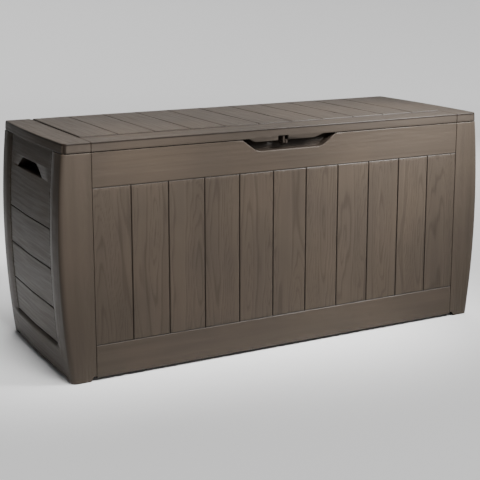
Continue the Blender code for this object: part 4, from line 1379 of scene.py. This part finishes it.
def dress_lid(obj):
    """Store the relief depth, which the finish turns into painted shade in the grooves and the moat, and
    choose the grain direction over the lid.
    """
    lid = props("lid")
    points = points_of(obj)
    x, y, z = points.T
    end = plank_half()
    on_planks = (np.abs(x) < end - PLANK_GAP) & (y > lid.planks_front) & (y < lid.planks_rear)
    face = np.where(on_planks, PLANK_TOP, lid.top)
    top_depth = (face - z) * MM
    front_depth = (HALF_DEPTH + y) * MM
    depth = np.where(z > lid.top - 0.003, top_depth, np.where(y < -HALF_DEPTH + 0.003, front_depth, 0.0))
    store(obj, "hollow_mm", np.where(depth < 3.2, depth, 0.0))

    def choose(centres):
        planks = (centres[:, 1] > lid.planks_front) & (centres[:, 1] < lid.planks_rear)
        ends = np.abs(centres[:, 0]) > end
        under = (np.abs(centres[:, 1]) < HALF_DEPTH - 0.003) & (centres[:, 2] < lid.top - 0.003)
        under = under & (np.abs(centres[:, 0]) < end_reach(lid.top) - 0.002)
        return np.where(under, 2, np.where(planks | ends, 0, 1))

    split_finish(obj, choose)


def pan_head_screw(radius, length):
    """Make a pan-head screw along +Y from the top of its head, with a cross recess."""
    head = radius * 0.6
    shank = radius * 0.44
    dome = np.radians((0, 25, 50, 75))
    profile = [(head * (1 - math.cos(a)), radius * (0.35 + 0.65 * math.sin(a))) for a in dome]
    profile += [(head * 0.8, radius), (head, radius * 0.97), (head + 0.0001, shank)]
    profile += [(length - shank, shank), (length, shank * 0.25)]
    turn = np.linspace(0, 2 * math.pi, 33)[:-1]
    rings = [[(r * math.cos(a), y, r * math.sin(a)) for a in turn] for y, r in profile]
    screw = bm_object("screw_source", loft(rings))
    for long_x in (True, False):
        wide = (radius * 0.55, radius * 0.13) if long_x else (radius * 0.13, radius * 0.55)
        low = (-wide[0], -0.001, -wide[1])
        high = (wide[0], head * 0.55, wide[1])
        combine(screw, box_solid(low, high), "DIFFERENCE")
    return screw


# ---- geometry nodes --------------------------------------------------------------------

def geometry_tree(name, inputs):
    """Start a Geometry Nodes tree with named number inputs, and return it with its ends."""
    tree = bpy.data.node_groups.new(name, "GeometryNodeTree")
    tree.interface.new_socket("Geometry", in_out="INPUT", socket_type="NodeSocketGeometry")
    for label, kind, value in inputs:
        socket = tree.interface.new_socket(label, in_out="INPUT", socket_type=kind)
        socket.default_value = value
    tree.interface.new_socket("Geometry", in_out="OUTPUT", socket_type="NodeSocketGeometry")
    return tree, tree.nodes.new("NodeGroupInput"), tree.nodes.new("NodeGroupOutput")


def finish_tree(tree, output, geometry, material):
    """End a tree in Realize Instances and Set Material."""
    realize = tree.nodes.new("GeometryNodeRealizeInstances")
    paint = tree.nodes.new("GeometryNodeSetMaterial")
    paint.inputs["Material"].default_value = material
    tree.links.new(geometry, realize.inputs[0])
    tree.links.new(realize.outputs[0], paint.inputs["Geometry"])
    tree.links.new(paint.outputs[0], output.inputs[0])


def grown(name, tree, values):
    """Run a tree on an empty mesh and return the result as a plain mesh object."""
    host = bpy.data.objects.new(name, bpy.data.meshes.new(name))
    bpy.context.scene.collection.objects.link(host)
    modifier = host.modifiers.new("pattern", "NODES")
    modifier.node_group = tree
    for item in tree.interface.items_tree:
        if item.in_out == "INPUT" and item.name in values:
            modifier[item.identifier] = values[item.name]
    bake(host)
    host.data.shade_smooth()
    host.data.set_sharp_from_angle(angle=math.radians(SMOOTH_DEG))
    return host


def rib_tree(material):
    """Return a tree that makes a row of upright ribs, evenly spaced in X or in Y."""
    inputs = (
        ("Count", "NodeSocketInt", 10),
        ("Start", "NodeSocketVector", (0.0, 0.0, 0.0)),
        ("Pitch", "NodeSocketVector", (0.1, 0.0, 0.0)),
        ("Size", "NodeSocketVector", (0.002, 0.4, 0.01)),
    )
    tree, source, output = geometry_tree("rib_row", inputs)
    line = tree.nodes.new("GeometryNodeMeshLine")
    tree.links.new(source.outputs["Count"], line.inputs["Count"])
    tree.links.new(source.outputs["Start"], line.inputs["Start Location"])
    tree.links.new(source.outputs["Pitch"], line.inputs["Offset"])
    cube = tree.nodes.new("GeometryNodeMeshCube")
    tree.links.new(source.outputs["Size"], cube.inputs["Size"])
    place = tree.nodes.new("GeometryNodeInstanceOnPoints")
    tree.links.new(line.outputs["Mesh"], place.inputs["Points"])
    tree.links.new(cube.outputs["Mesh"], place.inputs["Instance"])
    finish_tree(tree, output, place.outputs["Instances"], material)
    return tree


def screw_tree(material, screw):
    """Return a tree that sets a screw at each place of a row of pairs."""
    inputs = (
        ("Count", "NodeSocketInt", 3),
        ("Start", "NodeSocketVector", (0.0, 0.0, 0.0)),
        ("Pitch", "NodeSocketVector", (0.4, 0.0, 0.0)),
        ("Spread", "NodeSocketVector", (0.03, 0.0, 0.0)),
        ("Seed", "NodeSocketInt", 7),
    )
    tree, source, output = geometry_tree("screw_row", inputs)
    line = tree.nodes.new("GeometryNodeMeshLine")
    tree.links.new(source.outputs["Count"], line.inputs["Count"])
    tree.links.new(source.outputs["Start"], line.inputs["Start Location"])
    tree.links.new(source.outputs["Pitch"], line.inputs["Offset"])
    pair = tree.nodes.new("GeometryNodeMeshLine")
    pair.inputs["Count"].default_value = 2
    tree.links.new(source.outputs["Spread"], pair.inputs["Offset"])
    spots = tree.nodes.new("GeometryNodeInstanceOnPoints")
    tree.links.new(line.outputs["Mesh"], spots.inputs["Points"])
    tree.links.new(pair.outputs["Mesh"], spots.inputs["Instance"])
    real = tree.nodes.new("GeometryNodeRealizeInstances")
    tree.links.new(spots.outputs["Instances"], real.inputs[0])
    turn = tree.nodes.new("FunctionNodeRandomValue")
    turn.data_type = "FLOAT_VECTOR"
    turn.inputs["Min"].default_value = (0.0, 0.0, 0.0)
    turn.inputs["Max"].default_value = (0.0, math.pi / 2, 0.0)
    tree.links.new(source.outputs["Seed"], turn.inputs["Seed"])
    info = tree.nodes.new("GeometryNodeObjectInfo")
    info.inputs["Object"].default_value = screw
    place = tree.nodes.new("GeometryNodeInstanceOnPoints")
    tree.links.new(real.outputs[0], place.inputs["Points"])
    tree.links.new(info.outputs["Geometry"], place.inputs["Instance"])
    tree.links.new(turn.outputs["Value"], place.inputs["Rotation"])
    finish_tree(tree, output, place.outputs["Instances"], material)
    return tree


# ---- operators --------------------------------------------------------------------------

class STORAGEBOX_OT_long_panels(bpy.types.Operator):
    """Build the front and back panels."""

    bl_idname = "storage_box.long_panels"
    bl_label = "Front and back panels"

    def execute(self, context):
        """Run the operator."""
        names = ("resin_grain_z", "resin_grain_x", "wall_inner_resin", "moulded_resin")
        materials = [finish_named(name) for name in names]
        for name, facing in (("front_panel", -1), ("back_panel", 1)):
            panel = long_panel(name + "_shell", facing)
            if facing < 0:
                add_scoop(panel)
            dress_panel(panel, facing)
            hand_over(panel, "root", "panel_resin", materials, name)
        return {"FINISHED"}


class STORAGEBOX_OT_end_panels(bpy.types.Operator):
    """Build the two bowed end panels with their posts and grips."""

    bl_idname = "storage_box.end_panels"
    bl_label = "End panels"

    def execute(self, context):
        """Run the operator."""
        names = ("resin_grain_z", "resin_grain_y", "wall_inner_resin", "moulded_resin")
        materials = [finish_named(name) for name in names]
        for place, side in (("left", -1), ("right", 1)):
            panel = end_panel(place + "_end_shell", side)
            add_soles(panel, side)
            add_grip(panel, side)
            dress_end(panel, side)
            hand_over(panel, "root", "end_resin", materials, place + "_end_panel")
        return {"FINISHED"}


class STORAGEBOX_OT_lid(bpy.types.Operator):
    """Build the planked lid and the ribs under it."""

    bl_idname = "storage_box.lid"
    bl_label = "Lid"

    def execute(self, context):
        """Run the operator."""
        lid = props("lid")
        obj = lid_shell("lid_top_shell")
        add_tongue(obj)
        cut_hinge_notches(obj)
        dress_lid(obj)
        materials = [finish_named(name) for name in ("lid_grain_y", "lid_grain_x", "wall_inner_resin")]
        hand_over(obj, "lid", "lid_resin", materials, "lid_shell")
        tree = rib_tree(finish_named("wall_inner_resin"))
        under = lid.top - lid.skin + RIB_ROOT
        height = under - lid.rib_low
        middle = (under + lid.rib_low) / 2
        cross = {
            "Count": CROSS_RIBS,
            "Start": (-(CROSS_RIBS // 2) * CROSS_RIB_PITCH, 0.0, middle),
            "Pitch": (CROSS_RIB_PITCH, 0.0, 0.0),
            "Size": (lid.rib, CROSS_RIB_LENGTH, height),
        }
        long = {
            "Count": LONG_RIBS,
            "Start": (0.0, -LONG_RIB_PITCH, middle),
            "Pitch": (0.0, LONG_RIB_PITCH, 0.0),
            "Size": (LONG_RIB_LENGTH, lid.rib, height - LONG_RIB_LOSS),
        }
        for name, values in (("lid_cross_ribs", cross), ("lid_long_ribs", long)):
            ribs = grown(name, tree, values)
            hand_over(ribs, "lid", "lid_resin", [finish_named("wall_inner_resin")])
        return {"FINISHED"}


class STORAGEBOX_OT_tray(bpy.types.Operator):
    """Dress the floor tray and add the laps behind the posts."""

    bl_idname = "storage_box.tray"
    bl_label = "Floor tray"

    def execute(self, context):
        """Run the operator."""
        tray = frame["nodes"]["base_tray"]
        tray.data.materials.clear()
        tray.data.materials.append(finish_named("moulded_resin"))
        walls = props("walls")
        back = HALF_DEPTH - walls.skin - GAP
        for facing, row in ((-1, "front"), (1, "back")):
            for side, place in ((-1, "left"), (1, "right")):
                ys = sorted((facing * back, facing * (back - LAP_THICKNESS)))
                xs = sorted((side * (plank_half() - LAP_HALF), side * (plank_half() + LAP_HALF)))
                low = (xs[0], ys[0], PANEL_BOTTOM + 0.003)
                high = (xs[1], ys[1], BODY_TOP - 0.012)
                lap = bm_object(f"{place}_{row}_lap", box_solid(low, high))
                bevel(lap, LAP_ROUNDING)
                hand_over(lap, "root", "panel_resin", [finish_named("wall_inner_resin")])
        return {"FINISHED"}


class STORAGEBOX_OT_hardware(bpy.types.Operator):
    """Build the hinges, screws, stays and padlock ears."""

    bl_idname = "storage_box.hardware"
    bl_label = "Hinges, stays and ears"

    def execute(self, context):
        """Run the operator."""
        for name, node in frame["nodes"].items():
            if "screw" in name or name.endswith(("_panel", "_shell")) or name == "base_tray":
                continue
            metal = name.endswith(("_pin", "_stud"))
            body = next(key for key, empty in frame["bodies"].items() if empty == node.parent)
            copy = bpy.data.objects.new(name + "_finished", node.data.copy())
            context.scene.collection.objects.link(copy)
            bevel(copy, HARDWARE_ROUNDING)
            finish = finish_named("zinc_steel_finish" if metal else "moulded_resin")
            hand_over(copy, body, "zinc_steel" if metal else "dark_resin", [finish], name)
        self.add_screws()
        return {"FINISHED"}

    def add_screws(self):
        """Set the hinge screws, each turned by its own amount."""
        names = [name for name in frame["nodes"] if "hinge_screw" in name]
        first_low, first_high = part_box("left_hinge_screw_a")
        second_low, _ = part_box("left_hinge_screw_b")
        places = hinge_places()
        screw = pan_head_screw((first_high.x - first_low.x) / 2, first_high.y - first_low.y)
        tree = screw_tree(finish_named("zinc_steel_finish"), screw)
        values = {
            "Count": len(places),
            "Start": ((first_low.x + first_high.x) / 2, first_low.y, (first_low.z + first_high.z) / 2),
            "Pitch": (places[1] - places[0], 0.0, 0.0),
            "Spread": (second_low.x - first_low.x, 0.0, 0.0),
            "Seed": SCREW_SEED,
        }
        screws = grown("hinge_screws", tree, values)
        bpy.data.objects.remove(screw, do_unlink=True)
        hand_over(screws, "root", "zinc_steel", [finish_named("zinc_steel_finish")], *names)


class STORAGEBOX_OT_stage(bpy.types.Operator):
    """Set the floor, the lights and the camera."""

    bl_idname = "storage_box.stage"
    bl_label = "Studio"

    def execute(self, context):
        """Run the operator."""
        floor = self.sweep(FLOOR_RADIUS, FLOOR_BEND)
        self.paint(floor, "studio_floor_paint", props("finish").floor)

        world = bpy.data.worlds.new("studio_world")
        context.scene.world = world
        world.use_nodes = True
        background = world.node_tree.nodes["Background"]
        background.inputs["Color"].default_value = (1.0, 1.0, 1.0, 1.0)
        background.inputs["Strength"].default_value = WORLD_STRENGTH
        for light in LIGHTS:
            add_light(*light)
        self.card()
        sun = bpy.data.lights.new("sky_light", "SUN")
        sun.energy = SUN_STRENGTH
        sun.angle = math.radians(SUN_ANGLE)
        sky = bpy.data.objects.new("sky_light", sun)
        face_along(sky, Vector(SUN_DIRECTION))
        context.scene.collection.objects.link(sky)
        self.camera(context)
        return {"FINISHED"}

    def camera(self, context):
        """Set the camera at the front left, a little above the lid."""
        data = bpy.data.cameras.new("camera")
        camera = bpy.data.objects.new("camera", data)
        context.scene.collection.objects.link(camera)
        data.sensor_width = 36.0
        data.lens = CAMERA_LENS
        data.shift_y = CAMERA_SHIFT
        camera.location = CAMERA_PLACE
        yaw = math.radians(CAMERA_YAW)
        pitch = math.radians(CAMERA_PITCH)
        level = math.cos(pitch)
        face_along(camera, Vector((math.sin(yaw) * level, math.cos(yaw) * level, -math.sin(pitch))))
        context.scene.camera = camera

    def paint(self, obj, name, tone):
        """Give a studio object one dull paint."""
        material, _, shader, _ = new_material(name, 0.9)
        shader.inputs["Base Color"].default_value = (*tone, 1.0)
        obj.data.materials.append(material)

    def card(self):
        """Stand a dark card left of the box, unseen by the camera, to dim the light on its end."""
        card = bm_object("studio_flag", box_solid(CARD_LOW, CARD_HIGH))
        self.paint(card, "studio_flag_paint", (0.01, 0.01, 0.01))
        card.visible_camera = False
        card.visible_shadow = False

    def sweep(self, flat, bend):
        """Make a round floor that curves up into a low wall all round."""
        curve = np.radians(range(6, 85, 6))
        profile = [(flat, 0.0)]
        profile += [(flat + bend * math.sin(a), bend - bend * math.cos(a)) for a in curve]
        bm = bmesh.new()
        steps = 96
        turn = np.linspace(0, 2 * math.pi, steps + 1)[:-1]
        rings = []
        for radius, rise in profile:
            ring = [(radius * math.cos(a), radius * math.sin(a), rise - FLOOR_DROP) for a in turn]
            rings.append([bm.verts.new(point) for point in ring])
        bm.faces.new(rings[0])
        for inner, outer in zip(rings, rings[1:]):
            for index in range(steps):
                after = (index + 1) % steps
                bm.faces.new((inner[index], outer[index], outer[after], inner[after]))
        mesh = bpy.data.meshes.new("studio_floor")
        bm.to_mesh(mesh)
        bm.free()
        mesh.shade_smooth()
        floor = bpy.data.objects.new("studio_floor", mesh)
        bpy.context.scene.collection.objects.link(floor)
        return floor


def face_along(obj, direction):
    """Turn a light or a camera to face along a direction."""
    obj.rotation_mode = "QUATERNION"
    obj.rotation_quaternion = direction.to_track_quat("-Z", "Y")


def add_light(name, place, target, size, power, spread, reflected):
    """Add a soft square light that faces a point."""
    data = bpy.data.lights.new(name, "AREA")
    data.size = size
    data.energy = power
    data.spread = math.radians(spread)
    light = bpy.data.objects.new(name, data)
    light.visible_camera = False
    light.visible_glossy = reflected
    light.location = place
    face_along(light, Vector(target) - Vector(place))
    bpy.context.scene.collection.objects.link(light)


class STORAGEBOX_PT_sidebar(bpy.types.Panel):
    """List the operators in the sidebar."""

    bl_idname = "STORAGEBOX_PT_sidebar"
    bl_label = "Deck storage box"
    bl_space_type = "VIEW_3D"
    bl_region_type = "UI"
    bl_category = "Storage Box"

    def draw(self, context):
        """Draw one button for each operator."""
        for operator in OPERATORS:
            self.layout.operator(operator.bl_idname)


OPERATORS = (
    STORAGEBOX_OT_long_panels,
    STORAGEBOX_OT_end_panels,
    STORAGEBOX_OT_lid,
    STORAGEBOX_OT_tray,
    STORAGEBOX_OT_hardware,
    STORAGEBOX_OT_stage,
)
GROUPS = {
    "walls": BoxWalls,
    "ends": BoxEnds,
    "recesses": BoxRecesses,
    "lid": BoxLid,
    "finish": BoxFinish,
}


def register():
    """Register the property groups, operators and panel."""
    for name, group in GROUPS.items():
        bpy.utils.register_class(group)
        setattr(bpy.types.Scene, "storage_box_" + name, PointerProperty(type=group))
    for operator in OPERATORS:
        bpy.utils.register_class(operator)
    bpy.utils.register_class(STORAGEBOX_PT_sidebar)


def unregister():
    """Undo register."""
    bpy.utils.unregister_class(STORAGEBOX_PT_sidebar)
    for operator in reversed(OPERATORS):
        bpy.utils.unregister_class(operator)
    for name, group in reversed(list(GROUPS.items())):
        delattr(bpy.types.Scene, "storage_box_" + name)
        bpy.utils.unregister_class(group)


def main():
    """Build the whole scene."""
    register()
    for operator in OPERATORS:
        group, action = operator.bl_idname.split(".")
        getattr(getattr(bpy.ops, group), action)()


if __name__ == "__main__":
    main()
